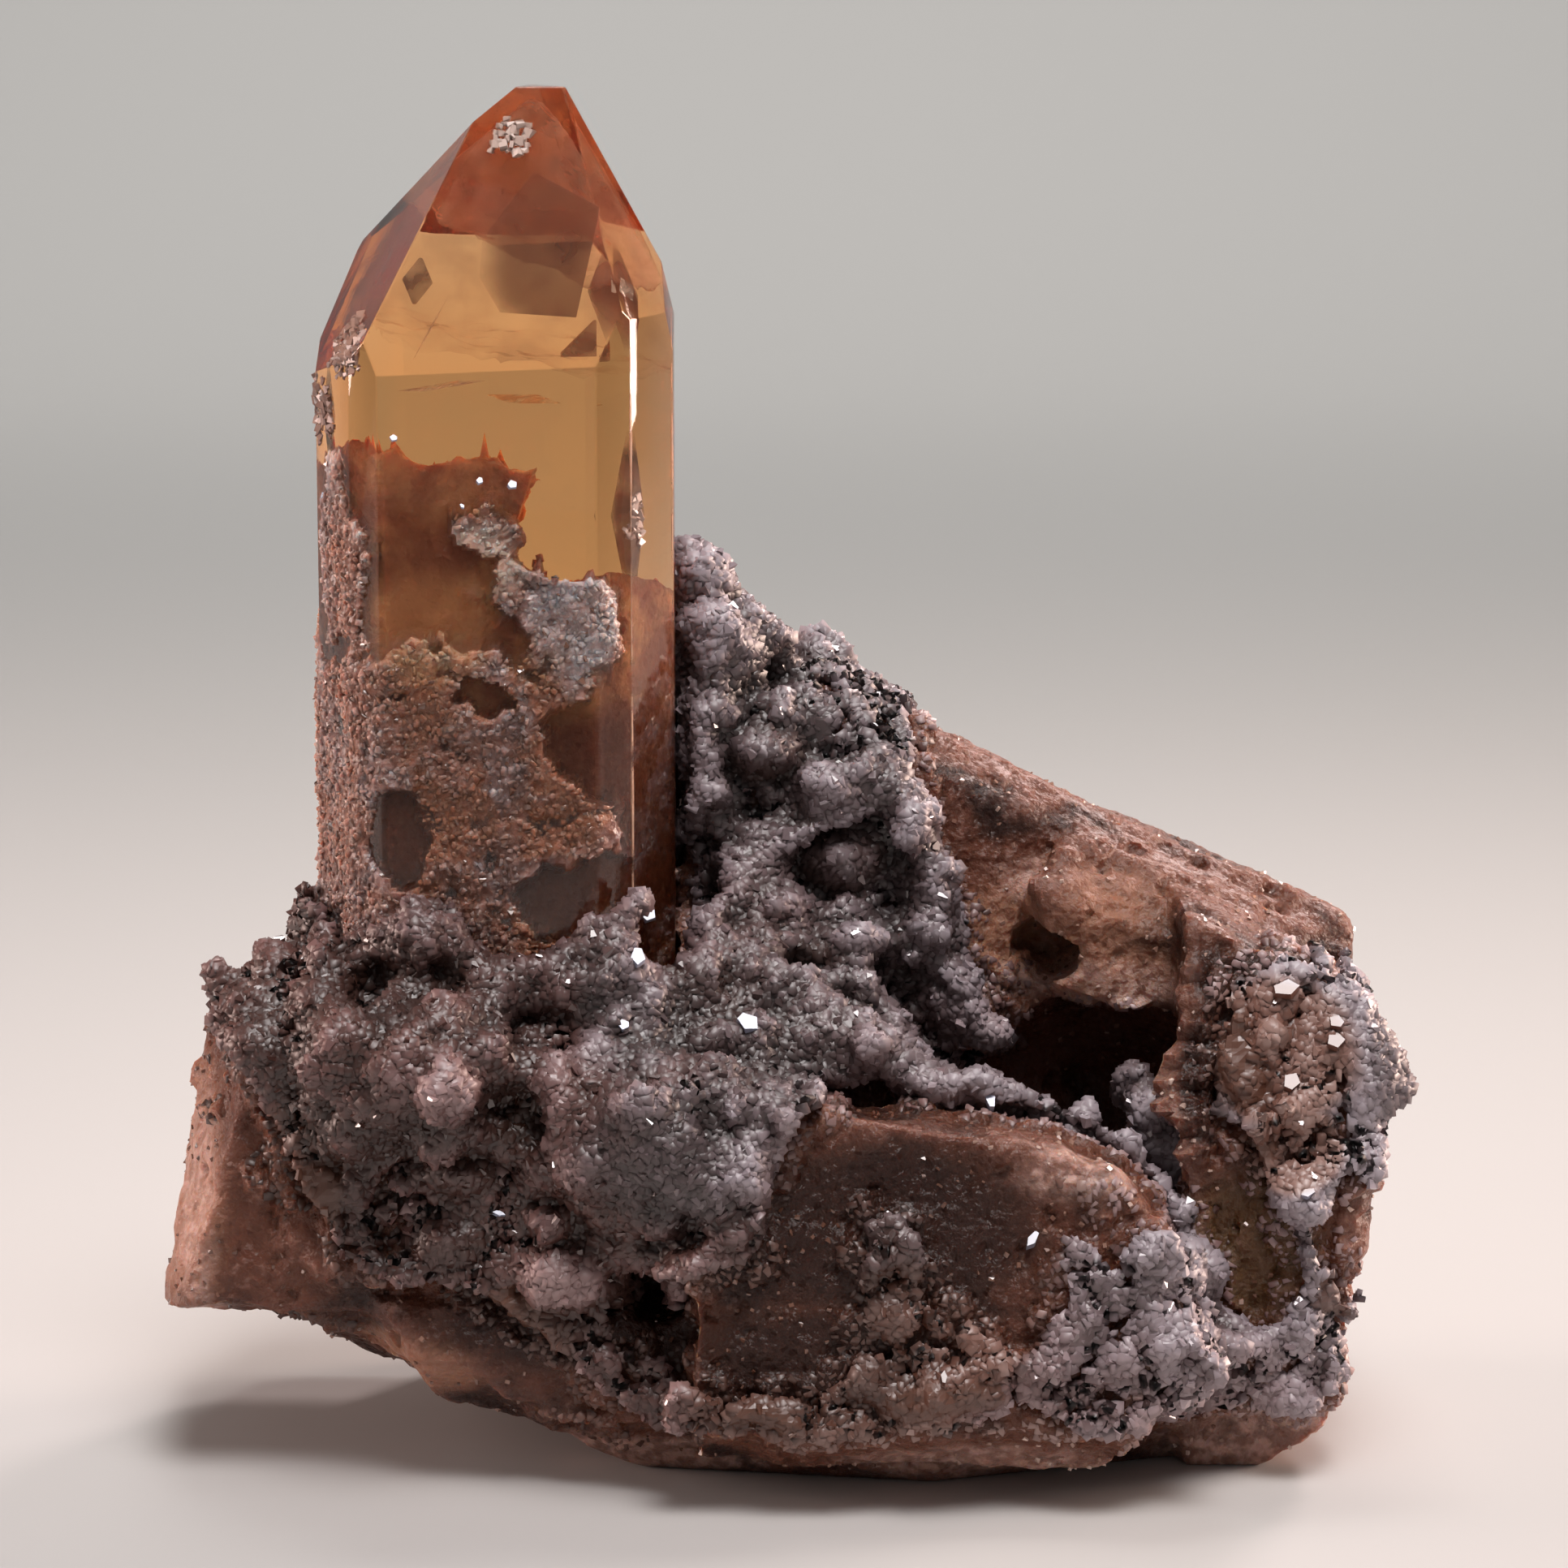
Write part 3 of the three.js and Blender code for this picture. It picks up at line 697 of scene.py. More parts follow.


# Each palette runs from painted shade in the crevices to painted highlight on what stands out.
GREY_DRUSE = Palette((0.034, 0.022, 0.021), (0.083, 0.057, 0.058), (0.185, 0.140, 0.150), (0.38, 0.32, 0.35))
WARM_DRUSE = Palette((0.044, 0.018, 0.013), (0.105, 0.046, 0.038), (0.205, 0.110, 0.103), (0.38, 0.25, 0.245))
BROWN_DRUSE = Palette((0.046, 0.017, 0.010), (0.122, 0.046, 0.029), (0.22, 0.105, 0.078), (0.37, 0.23, 0.195))
SUGAR = Palette((0.10, 0.040, 0.024), (0.24, 0.115, 0.078), (0.42, 0.25, 0.19), (0.75, 0.56, 0.48))
CLOUD_DRUSE = Palette((0.16, 0.062, 0.038), (0.28, 0.130, 0.095), (0.45, 0.27, 0.235), (0.68, 0.52, 0.49))
VEIL_DRUSE = Palette((0.14, 0.075, 0.062), (0.25, 0.165, 0.155), (0.42, 0.32, 0.32), (0.68, 0.57, 0.58))


@dataclass(frozen=True)
class Druse:
    """Sugary druse: grey-lavender, browner towards the left and the foot, with painted shade in its crevices,
    painted highlight on its tops and painted light towards the right.
    """

    name: str = "druse"
    grey: Palette = GREY_DRUSE
    warm: Palette = WARM_DRUSE
    brown: Palette = BROWN_DRUSE
    stone: Triple = (0.115, 0.046, 0.027)  # shows where the druse is missing
    roughness: float = 0.42
    gloss: float = 0.14
    softness: float = 1.3  # how far a grain's shading follows the ground under it

    def make(self) -> Material:
        """Builds the material."""
        graph = Shading(self.name)
        point = graph.point
        # How far the surface stands out: painted shade in the crevices, painted highlight on the tops.
        relief = graph.attribute("relief") * 0.9 + graph.attribute("form") * 0.5
        tint = graph.attribute("tint")
        patchy = graph.noise(point, 0.22, 4, 0.4)
        lift = relief + 0.40 + (tint - 0.5) * 0.2 + (patchy - 0.5) * 0.6
        lift += graph.near_any(point, PALE) * 0.26 - 0.03
        # Painted light: lighter towards the right.
        lift = (lift + graph.part(point, "X") * 0.016).rise(0, 1)
        warmth = self._warmth(graph, patchy)
        colour = graph.mix(self.grey.ramp(graph, lift), self.warm.ramp(graph, lift), warmth)
        ragged = (patchy - 0.5) * 1.2
        browner = (graph.near_any(point, BROWNED) + ragged).rise(0.1, 0.8)
        colour = graph.mix(colour, self.brown.ramp(graph, lift), browner)
        # Painted shade: darker in the shaded places and in the dents.
        colour = graph.mix(colour, self.brown.deep, graph.near_any(point, SHADED) * 0.65)
        colour = graph.mix(colour, self.brown.deep, graph.attribute("shade") * 0.6)
        colour = graph.mix(colour, self.stone, graph.attribute("bare"))
        surface = {
            "Base Color": colour,
            "Roughness": self.roughness,
            "Coat Weight": self.gloss,
            "Coat Roughness": 0.1,
            "Normal": graph.calmed(graph.own_normal(), self.softness),
        }
        return graph.finished(surface)

    def _warmth(self, graph: Shading, patchy: Signal) -> Signal:
        """Where the druse is brown and pink: its left and lower parts, and in patches."""
        cooled = graph.near_any(graph.point, COOLED) * 0.55
        across = graph.dot(graph.point, (-0.06, 0, -0.07)) + 1.0 - cooled
        return (across + (patchy - 0.5) * 1.8).rise(-0.3, 0.8)


SPARKLING_SUGAR = Druse("sparkling sugar", SUGAR, SUGAR, SUGAR, roughness=0.2, gloss=0.6, softness=0.3)


@dataclass(frozen=True)
class CloudedTopaz:
    """The brown cloud in the upright crystal, which comes out of it as a pink-grey druse."""

    dark: Triple = (0.36, 0.125, 0.060)
    lit: Triple = (0.70, 0.36, 0.17)
    low: Triple = (0.16, 0.044, 0.018)  # the cloud's lower half
    film: Triple = (0.30, 0.115, 0.062)  # where the druse is thin
    pink: Triple = (0.78, 0.50, 0.40)
    druse: Palette = CLOUD_DRUSE
    veil: Palette = VEIL_DRUSE

    def make(self) -> Material:
        """Builds the material."""
        graph = Shading("clouded topaz")
        point = graph.point
        coat = graph.attribute("coat")
        mottle = graph.noise(graph.warped(point, 0.5, 0.5), 0.55, 5)
        inner = graph.mix(self.dark, self.lit, mottle.rise(0.40, 0.70))
        inner = graph.mix(inner, self.low, graph.part(point, "Z").rise(23.0, 21.0) * 0.95)
        ochre = graph.near(point, (-9.9, -4.0, 24.3), (2.2, 2.5, 2.0)) * 0.75
        inner = graph.mix(inner, self.lit, ochre)
        fine = graph.noise(point, 3.0, 4) - 0.5
        tint = graph.attribute("tint") - 0.5
        # How far the surface stands out: painted shade low down, painted highlight on top.
        lift = (graph.attribute("relief") * 1.4 + 0.44 + fine * 0.7 + tint * 0.2).rise(0, 1)
        grainy = graph.noise(point, 4.5, 3)
        paler = graph.near(point, (-5.8, -4.0, 24.5), (1.9, 2.0, 2.3)) * 0.6
        pinker = graph.near(point, (-8.5, -4.0, 26.2), (1.7, 2.0, 1.4)) * 0.75
        veiled = graph.noise(graph.warped(point, 0.6, 0.6), 0.45, 4).rise(0.47, 0.6) * 0.85
        outer = graph.mix(self.druse.ramp(graph, lift), self.veil.ramp(graph, lift), veiled)
        outer = graph.mix(outer, self.veil.bright, paler)
        outer = graph.mix(outer, self.pink, pinker)
        left = graph.part(point, "X").rise(-10.6, -12.2)
        thin = (mottle.rise(0.46, 0.6) - left * 0.7 - paler - pinker).at_least(0.0)
        outer = graph.mix(graph.mix(outer, self.film, thin * 0.8), self.lit, ochre * 0.5)
        surface = {
            "Base Color": graph.mix(inner, outer, coat),
            "Roughness": 0.4,
            "Specular IOR Level": 0.15,
            "Subsurface Weight": 0.8,
            "Subsurface Radius": (1.0, 0.5, 0.35),
            "Subsurface Scale": 0.5 * MM,
            "Coat Weight": coat * 0.35,
            "Coat Roughness": 0.12,
            "Normal": graph.bump(grainy, 0.2, 0.5, graph.calmed(graph.tilted(6.0, 0.3), 1.2)),
        }
        return graph.finished(surface)


@dataclass(frozen=True)
class Haze:
    """A veil of tiny inclusions, denser in streaks.

    `thin` and `thick` are its least and its greatest cover, `scale` is its streaks to a millimetre,
    and `core` is where it lies, if not everywhere.
    """

    name: str
    colour: Triple
    thin: float
    thick: float
    scale: float = 0.7
    core: Place | None = None

    def make(self) -> Material:
        """Builds the material."""
        graph = Shading(self.name)
        streaks = graph.noise(graph.warped(graph.point, 0.4, 0.7), self.scale, 5)
        cover = streaks.rise(0.34, 0.68) * (self.thick - self.thin) + self.thin
        if self.core:
            cover = cover * graph.near_any(graph.point, [self.core])
        darker = tuple(0.45 * part for part in self.colour)
        colour = graph.mix(self.colour, darker, streaks.rise(0.5, 0.75))
        return graph.finished({"Base Color": colour, "Roughness": 0.6, "Alpha": cover})


@dataclass(frozen=True)
class BrownTopaz:
    """Clouded topaz: red-brown, with painted shade by the druse and a painted orange and pink glow where
    light comes through.
    """

    shade: Triple = (0.028, 0.009, 0.006)
    body: Triple = (0.150, 0.054, 0.032)
    glow: Triple = (0.36, 0.170, 0.108)
    pink: Triple = (0.60, 0.37, 0.31)
    olive: Triple = (0.11, 0.056, 0.021)

    def make(self) -> Material:
        """Builds the material."""
        graph = Shading("brown topaz")
        point = graph.point
        cloud = graph.noise(graph.warped(point, 0.35, 0.8), 0.32, 5)
        flecks = graph.noise(point, 2.4, 4)
        colour = graph.mix(self.shade, self.body, cloud.rise(0.30, 0.55))
        # Painted glow where light would come through the crystals.
        glowing = graph.near_any(point, GLOWING) * (cloud * 1.3 + 0.35)
        colour = graph.mix(colour, self.glow, glowing.at_most(0.92))
        colour = graph.mix(colour, self.olive, graph.near_any(point, OLIVE) * 0.8)
        # Pink: pale frost, partly painted rim light; it is paler too where the surface stands out, a painted
        # highlight.
        pale = graph.near_any(point, PINK) * (flecks.rise(0.4, 0.62) * 0.65 + 0.35)
        flecks_and_highlight = flecks.rise(0.58, 0.74) * 0.22 + graph.attribute("relief") * 0.6
        pale = (pale * 0.85).at_least(flecks_and_highlight).at_least(0.0).at_most(0.85)
        colour = graph.mix(colour, self.pink, pale)
        # Painted shade in the hollow, on the lip's face and low on the front.
        colour = graph.mix(colour, self.shade, graph.near_any(point, SHADED) * 0.92)
        grainy = graph.noise(point, 4.5, 3) * 0.7 + graph.noise(point, 1.3, 3) * 0.5
        surface = {
            "Base Color": colour,
            "Roughness": (flecks * 0.4 + 0.2).at_most(0.6),
            "Subsurface Weight": 0.7,
            "Subsurface Radius": (1.0, 0.42, 0.22),
            "Subsurface Scale": 0.7 * MM,
            "Specular IOR Level": 0.2,
            "Coat Weight": 0.05,
            "Coat Roughness": 0.08,
            "Normal": graph.bump(grainy, 0.25, 0.8, graph.tilted(5.5, 0.3)),
        }
        return graph.finished(surface)


# ---------------------------------------------------------------- grains


@dataclass
class Sprinkle:
    """Crystal grains grown over a surface, as one mesh of many small crystals.

    `spacing` is the least distance between two grains, `size` their mean length, `sunk` how deep
    their middles lie, and `span` the lowest and highest X that they grow at, all in millimetres.
    `density` is how many are tried to a square millimetre, `spread` the share of their length by
    which they differ, and `cuts` how many cut corners each has. `where` names the number stored on
    the ground that says how thickly they grow.
    """

    name: str
    spacing: float
    size: float
    seed: int
    density: float = 90
    spread: float = 0.6
    cuts: int = 1
    rounded: bool = True
    sunk: float = 0.0
    span: tuple[float, float] = (-FAR, FAR)
    where: str = "grainy"

    def grain(self) -> Piece:
        """One blocky grain with cut corners, about 1 mm long."""
        faces = [Face(35, 48, 0.42), Face(200, 62, 0.40), Face(290, 130, 0.43)]
        return faceted("grain", faces[: self.cuts], reach=0.5)

    def grow(self, ground: Piece, material: Material) -> None:
        """Grows the grains, joined in one mesh, and settles them.

        Args:
            ground: the surface that they grow on, in millimetres.
            material: their finish.
        """
        grain = self.grain()
        piece = bpy.data.objects.new(self.name, ground.data.copy())
        bpy.context.scene.collection.objects.link(piece)
        shaping = Shaping(piece)
        across = shaping.part(shaping.point, "X")
        low, high = self.span
        there = across.math("GREATER_THAN", across, low) * across.math("LESS_THAN", across, high)
        inputs = {
            "Mesh": shaping.geometry,
            "Distance Min": self.spacing,
            "Density Max": self.density,
            "Density Factor": shaping.stored(self.where) * there,
            "Seed": self.seed,
        }
        settings = {"distribute_method": "POISSON"}
        scatter = shaping.node("GeometryNodeDistributePointsOnFaces", settings, inputs)
        outwards = scatter.outputs["Normal"]
        shaping.geometry = scatter.outputs["Points"]
        shaping.move(shaping.vector("SCALE", outwards, -self.sunk))
        inputs = {"Geometry": shaping.geometry, "Name": "ground", "Value": outwards}
        settings = {"data_type": "FLOAT_VECTOR"}
        smallest, largest = self.size * (1 - self.spread), self.size * (1 + self.spread)
        inputs = {
            "Points": shaping.socket("GeometryNodeStoreNamedAttribute", settings, inputs),
            "Instance": shaping.socket("GeometryNodeObjectInfo", None, {"Object": grain}, "Geometry"),
            "Rotation": self._random(shaping, -math.pi, math.pi, 1),
            "Scale": self._random(shaping, smallest, largest, 2),
        }
        shaping.geometry = shaping.socket("GeometryNodeInstanceOnPoints", None, inputs)
        random = {"Min": 0.0, "Max": 1.0, "Seed": self.seed + 3}
        tint = shaping.signal("FunctionNodeRandomValue", {"data_type": "FLOAT"}, random)
        shaping.store("tint", tint, "INSTANCE")
        shaping.geometry = shaping.socket("GeometryNodeRealizeInstances", None, {0: shaping.geometry})
        shaping.apply()
        smooth(piece)
        if not self.rounded:
            bpy.ops.object.shade_flat()
        discard(grain)
        settle(piece, material)

    def _random(self, shaping: Shaping, low: float, high: float, step: int) -> Socket:
        """A random vector for each grain, each part of it between two numbers."""
        inputs = {"Min": (low,) * 3, "Max": (high,) * 3, "Seed": self.seed + step}
        return shaping.socket("FunctionNodeRandomValue", {"data_type": "FLOAT_VECTOR"}, inputs)


# ---------------------------------------------------------------- the upright crystal

CRYSTAL_CENTRE = (-8.25, 0.0, 0.0)
CRYSTAL_REACH = 45.0  # the block that it is cut from
PRISM_DEPTH = 3.8  # from its axis to its front face
PRISM_FRONT = [(0, 5.1), (-26.6, 4.83), (-48.2, 4.8), (-89, 3.8), (-135, 4.91), (-156, 4.83), (180, 5.1)]
PRISM_BACK = [(152, 5.08), (116, 4.55), (91, 3.8), (64, 4.55), (28, 5.08)]
PRISM_FACES = [Face(around, 90, out) for around, out in (*PRISM_FRONT, *PRISM_BACK)]
POINT_FACES = [
    Face(0, 0, 39.25),
    Face(-90, 67.4, 15.62),
    Face(90, 60, 20.3),
    Face(-163.3, 59.1, 20.31),
    Face(170, 41, 29.1),
    Face(-27.1, 67, 17.3),
    Face(32, 62.4, 19.48),
    Face(-5, 81, 10.05),
]
ROOT_FACE = Face(0, 180, -9.5)
CRYSTAL_FACES = [*PRISM_FACES, *POINT_FACES, ROOT_FACE]

SEED_FACES = [Face(around, tilt, 0.62) for around in (25, 115, 205, 295) for tilt in (58, 122)]
WEDGE_FACES = [Face(180, 45, 0.1)]
PLATE_FACES = [Face(180, 50, 0.8), Face(0, 20, 0.9), Face(180, 130, 1.1), Face(0, 100, 0.9)]

# Where the druse comes out on the crystal's faces above the foot, and where it leaves them bare.
COATED = Place.rows(
    (-8.3, -3.8, 26.9, 1.3, 2.5, 1.2),
    (-7.0, -3.8, 25.4, 1.7, 2.5, 1.1),
    (-5.8, -3.8, 24.5, 1.8, 2.5, 2.3),
    (-12.6, -2.4, 26.4, 1.3, 2.6, 3.4),
    (-12.0, -3.4, 25.4, 0.8, 2.0, 3.6),
    (-12.0, 2.4, 24.5, 2.4, 2.6, 3.5),
)
WINDOWS = Place.rows(
    (-5.5, -3.8, 21.1, 1.6, 2.5, 1.8),
    (-6.0, -3.8, 16.6, 2.0, 2.5, 1.4),
    (-10.8, -3.8, 18.4, 1.0, 2.5, 1.9),
    (-10.2, -3.8, 26.3, 1.3, 2.5, 2.8),
    (-8.4, -3.8, 22.4, 1.2, 2.5, 0.6),
)
# Where clear grains have settled on its upper faces.
SPARKLING = Place.rows(
    (-12.2, -2.0, 32.1, 1.2, 2.4, 1.3),
    (-13.1, -0.8, 30.2, 0.6, 2.4, 1.3),
    (-4.2, -2.9, 27.2, 0.35, 1.2, 1.1),
)
# The X and Y of each frosted edge line, partly wear and partly painted highlight, and its lowest and highest
# Z.
WEAR_AND_HIGHLIGHT_EDGES = [
    (-4.31, -2.91, 12.5, 26.0),
    (-4.31, -2.91, 26.5, 32.6),
    (-3.2, -0.7, 24.0, 32.9),
]


@dataclass
class UprightCrystal:
    """The clear crystal, with the cloud that fills its lower half and what lies in its point."""

    edge: float = 0.11  # the width of its worn edges
    inset: float = 0.32  # how deep the cloud lies under the faces
    cloud_top: float = 26.6
    shelf_top: float = 29.2  # the cloud stands higher on the left
    shelf_end: float = -8.36  # how far out the shelf's right-hand end lies, along its slanting normal
    back_slope: float = 19.0  # how steeply the cloud's top falls to the back, in degrees
    end_slope: float = 109.5  # how far the shelf's end tilts from +Z, in degrees
    step: float = 0.13  # the side of a square of the cloud's mesh

    def build(self) -> None:
        """Builds and dresses the crystal."""
        self.glass()
        self.cloud()
        self.point_haze()
        self.inclusions()
        self.wear_and_highlight_edges()
        self.surface_grains()

    def glass(self) -> None:
        """The clear crystal itself, with worn edges."""
        glass = faceted("clear_crystal", CRYSTAL_FACES, CRYSTAL_CENTRE, CRYSTAL_REACH)
        bevel_edges(glass, self.edge)
        smooth(glass, EDGE_ANGLE)
        settle(glass, ClearTopaz().make(), "upright_crystal")

    def cloud(self) -> None:
        """The brown cloud, with a jagged top, and the druse that comes out of it."""
        body = self._block("cloud body", self.cloud_top)
        shelf = self._block("cloud shelf", self.shelf_top, self.shelf_end)
        cloud = joined([body, shelf], "clouded_heart")
        even_mesh(cloud, self.step)
        shaping = Shaping(cloud)
        point = shaping.point
        rough = shaping.noise(point, 1.1, 5) - 0.5
        side = shaping.part(shaping.normal, "Z").rise(0.8, 0.5)
        bent = shaping.warped(shaping.warped(point, 0.5, 0.45), 1.8, 0.14)
        left = shaping.part(bent, "X").rise(-4.4, -5.8)
        foot = shaping.part(bent, "Z").rise(26.0, 21.5) * left
        places = shaping.near_any(bent, COATED).at_least(foot) - shaping.near_any(bent, WINDOWS) * 1.1
        coat = (places + rough * 1.8).rise(0.15, 0.8) * side
        knobs = 1 - shaping.cells(shaping.warped(point, 0.8, 0.3), 0.9, 0.3) ** 2.0
        fine = shaping.noise(point, 2.6, 4) - 0.5
        out = coat * (knobs * 0.22 + fine * 0.34 + self.inset - 0.02) + rough * 0.12 - 0.04
        shaping.store("coat", coat)
        shaping.raise_surface(out)
        shaping.move(self._spikes(shaping))
        shaping.store("relief", shaping.relief(12))
        shaping.store("grainy", coat.rise(0.3, 0.8))
        shaping.apply()
        material = CloudedTopaz().make()
        Sprinkle("cloud_grains", 0.17, 0.155, 41, sunk=0.045).grow(cloud, material)
        sparkles = Sprinkle("cloud_sparkles", 0.6, 0.12, 43, cuts=3, rounded=False)
        sparkles.grow(cloud, SPARKLING_SUGAR.make())
        settle(cloud, material)

    def _block(self, name: str, top: float, end: float = FAR) -> Piece:
        """The inside of the prism up to a height.

        Args:
            name: the piece's name.
            top: its height at the front; it is lower at the back.
            end: how far out its slanting end lies, if it has one.

        Returns:
            The closed block.
        """
        slope = Face(90, self.back_slope, 0)
        out = slope.normal.dot(Vector((0, -PRISM_DEPTH, top)))
        faces = [*PRISM_FACES, Face(90, self.back_slope, out + self.inset), ROOT_FACE]
        if end < FAR:
            faces.append(Face(0, self.end_slope, end + self.inset))
        return faceted(name, faces, CRYSTAL_CENTRE, CRYSTAL_REACH, self.inset)

    def _spikes(self, shaping: Shaping) -> Socket:
        """Waves, and here and there a spike, along the top of the cloud."""
        flat = shaping.vector("MULTIPLY", shaping.point, (1.0, 1.0, 0.2))
        top = shaping.spread(shaping.part(shaping.normal, "Z").rise(0.3, 0.8), 8)
        waves = (shaping.noise(flat, 0.55, 4) - 0.5) * 3.2
        spikes = shaping.noise(flat, 2.0, 2).rise(0.62, 0.76) * 0.8
        slope = (shaping.part(shaping.point, "X") + 9.5) * -0.2
        return shaping.upward((waves + spikes + slope) * top)

    def point_haze(self) -> None:
        """The pink-brown haze that fills the point, thicker in its middle."""
        # The height and tilt of each layer's lower side, and how deep it lies under the faces.
        layers = [
            ("point_haze", 34.3, 160, 0.5, Haze("haze", (0.80, 0.36, 0.22), 0.1, 0.5)),
            ("thin_haze", 31.1, 172, 0.6, Haze("thin haze", (0.62, 0.28, 0.15), 0.0, 0.2, 0.4)),
        ]
        for name, height, tilt, inset, finish in layers:
            out = height * math.cos(math.radians(tilt))
            faces = [*PRISM_FACES, *POINT_FACES, Face(180, tilt, out)]
            haze = faceted(name, faces, CRYSTAL_CENTRE, CRYSTAL_REACH, inset)
            even_mesh(haze, 0.22, 2)
            shaping = Shaping(haze)
            wavy = (shaping.noise(shaping.point, 0.6, 3) - 0.5) * 1.4
            low = shaping.part(shaping.normal, "Z").rise(-0.3, -0.8)
            shaping.move(shaping.upward(wavy * low))
            shaping.apply()
            smooth(haze)
            settle(haze, finish.make())

    def inclusions(self) -> None:
        """The small crystals, veils and healed cracks inside the clear part."""
        dark = Haze("dark inclusion", (0.30, 0.14, 0.07), 0.35, 0.8, 1.6)
        red = Haze("red inclusion", (0.36, 0.11, 0.05), 0.3, 0.75, 1.2)
        core = Place((-6.2, -2.25, 34.5), (2.5, 9.0, 2.9), edge=0.55)
        smoke = Haze("smoke", (0.29, 0.078, 0.028), 0.5, 0.85, 0.6, core)
        self._seed("seed_left", dark, (-10.25, -2.5, 33.9), (0.46, 0.22, 0.68), (0, 8, 8))
        self._seed("seed_right", red, (-5.75, -2.4, 32.2), (0.5, 0.15, 0.5), (0, 0, 4), WEDGE_FACES)
        self._seed("smoky_plate", smoke, (-6.85, -2.25, 34.9), (1.6, 0.12, 2.0), (-8, 4, 0), PLATE_FACES)
        veils = [
            ("veil_low", (-4.7, -2.0, 27.3), (0.7, 0.12, 2.4), (0.56, 0.36, 0.30)),
            ("veil_top", (-4.9, -1.6, 33.4), (0.65, 0.12, 1.5), (0.52, 0.22, 0.13)),
            ("veil_left", (-12.5, -0.9, 30.0), (0.35, 0.7, 1.5), (0.30, 0.27, 0.18)),
        ]
        for name, centre, half, colour in veils:
            reach = (1.2 * half[0], 1.2 * half[1] + 0.5, 1.1 * half[2])
            core = Place(centre, reach, edge=0.4)
            self._seed(name, Haze(name, colour, 0.5, 1.0, 0.9, core), centre, half)
        crack = Haze("crack", (0.75, 0.6, 0.5), 0.1, 0.75, 2.2)
        self._seed("crack_low", crack, (-9.6, -2.4, 31.0), (1.3, 0.5, 0.02), (6, -8, 0))
        self._seed("crack_steep", crack, (-9.9, -2.5, 32.5), (0.02, 0.5, 1.0), (0, 28, 0))
        self._seed("crack_right", crack, (-4.6, -2.0, 33.6), (0.4, 0.4, 0.02), (30, 40, 0))
        self._seed("crack_deep", crack, (-7.4, 0.4, 30.4), (1.1, 0.6, 0.02), (10, 4, 0))

    def wear_and_highlight_edges(self) -> None:
        """Frosted lines along the prism's right-hand edges, where they are worn, which also serve as painted
        highlight lines.
        """
        # Pale haze along the edges: frost where they are worn, and painted highlight.
        frost_and_highlight = Haze("frost_and_highlight", (0.86, 0.52, 0.36), 0.0, 0.9, 0.9)
        for number, (x, y, low, high) in enumerate(WEAR_AND_HIGHLIGHT_EDGES):
            half = (0.055, 0.055, (high - low) / 2)
            self._seed(f"worn_edge_{number + 1}", frost_and_highlight, (x, y, (low + high) / 2), half, (0, 0, 20))

    def _seed(
        self,
        name: str,
        finish: Haze,
        centre: Triple,
        half: Triple,
        turn: Triple = (0, 0, 0),
        faces: list[Face] = SEED_FACES,
    ) -> None:
        """A small faceted body inside the crystal.

        Args:
            name: the piece's name.
            finish: its finish.
            centre: its middle.
            half: its half-lengths.
            turn: its turns about X, Y and Z, in degrees.
            faces: its faces, on a body of half-length 1.
        """
        piece = faceted(name, faces)
        placed(piece, half, tuple(math.radians(angle) for angle in turn), centre)
        bevel_edges(piece, 0.1 * min(half), 1)
        settle(piece, finish.make())

    def surface_grains(self) -> None:
        """Clear grains that have settled on the upper faces, and a tuft by the tip."""
        skin = faceted("skin", CRYSTAL_FACES, CRYSTAL_CENTRE, CRYSTAL_REACH, 0.03)
        even_mesh(skin, 0.25)
        shaping = Shaping(skin)
        point = shaping.point
        ragged = (shaping.noise(point, 1.6, 4) - 0.5) * 2.4
        settled = (shaping.near_any(point, SPARKLING) + ragged).rise(0.5, 0.9)
        tip = shaping.near(point, (-7.7, -1.2, 37.9), (0.85, 0.9, 0.75))
        tuft = (tip + ragged * 0.5).rise(0.35, 0.7)
        shaping.store("grainy", settled.at_least(tuft))
        shaping.store("relief", tuft * 0.5 + 0.35)
        shaping.apply()
        finish = Druse("settled grains", SUGAR, SUGAR, SUGAR, roughness=0.3, gloss=0.4)
        grains = Sprinkle("settled_grains", 0.15, 0.18, 51, rounded=False, sunk=0.02)
        grains.grow(skin, finish.make())
        discard(skin)


# ---------------------------------------------------------------- the base crystals

# Where a painted glow stands for light coming through the base crystals, where they are pink (pale frost,
# partly painted rim light) or olive, and where painted shade darkens them.
GLOWING = Place.rows(
    (-16.8, -2.5, 7.5, 1.7, 5.0, 5.0),
    (6.2, 1.0, 14.4, 1.5, 2.5, 1.6),
    (9.6, 0.5, 13.6, 2.8, 2.5, 1.4),
    (14.5, 2.0, 3.0, 3.0, 8.0, 3.0),
    (-10.5, -5.5, 3.6, 2.8, 3.0, 1.3),
    (8.6, 2.0, 14.8, 4.2, 3.5, 2.2),
)
PINK = Place.rows(
    (9.2, 0.6, 13.2, 4.0, 2.4, 1.0),
    (-5.0, -5.4, 0.6, 6.5, 3.0, 0.9),
    (5.5, -7.5, 0.8, 5.5, 4.0, 1.4),
    (-16.6, -3.0, 7.0, 1.0, 4.0, 5.0),
    (14.0, -3.0, 0.8, 4.5, 5.0, 1.8),
    (8.2, -7.8, 9.6, 2.4, 1.5, 1.0),
    (8.0, 2.0, 16.0, 2.2, 2.0, 1.0),
)
OLIVE = Place.rows((13.2, -5.2, 6.8, 2.6, 3.0, 2.8))
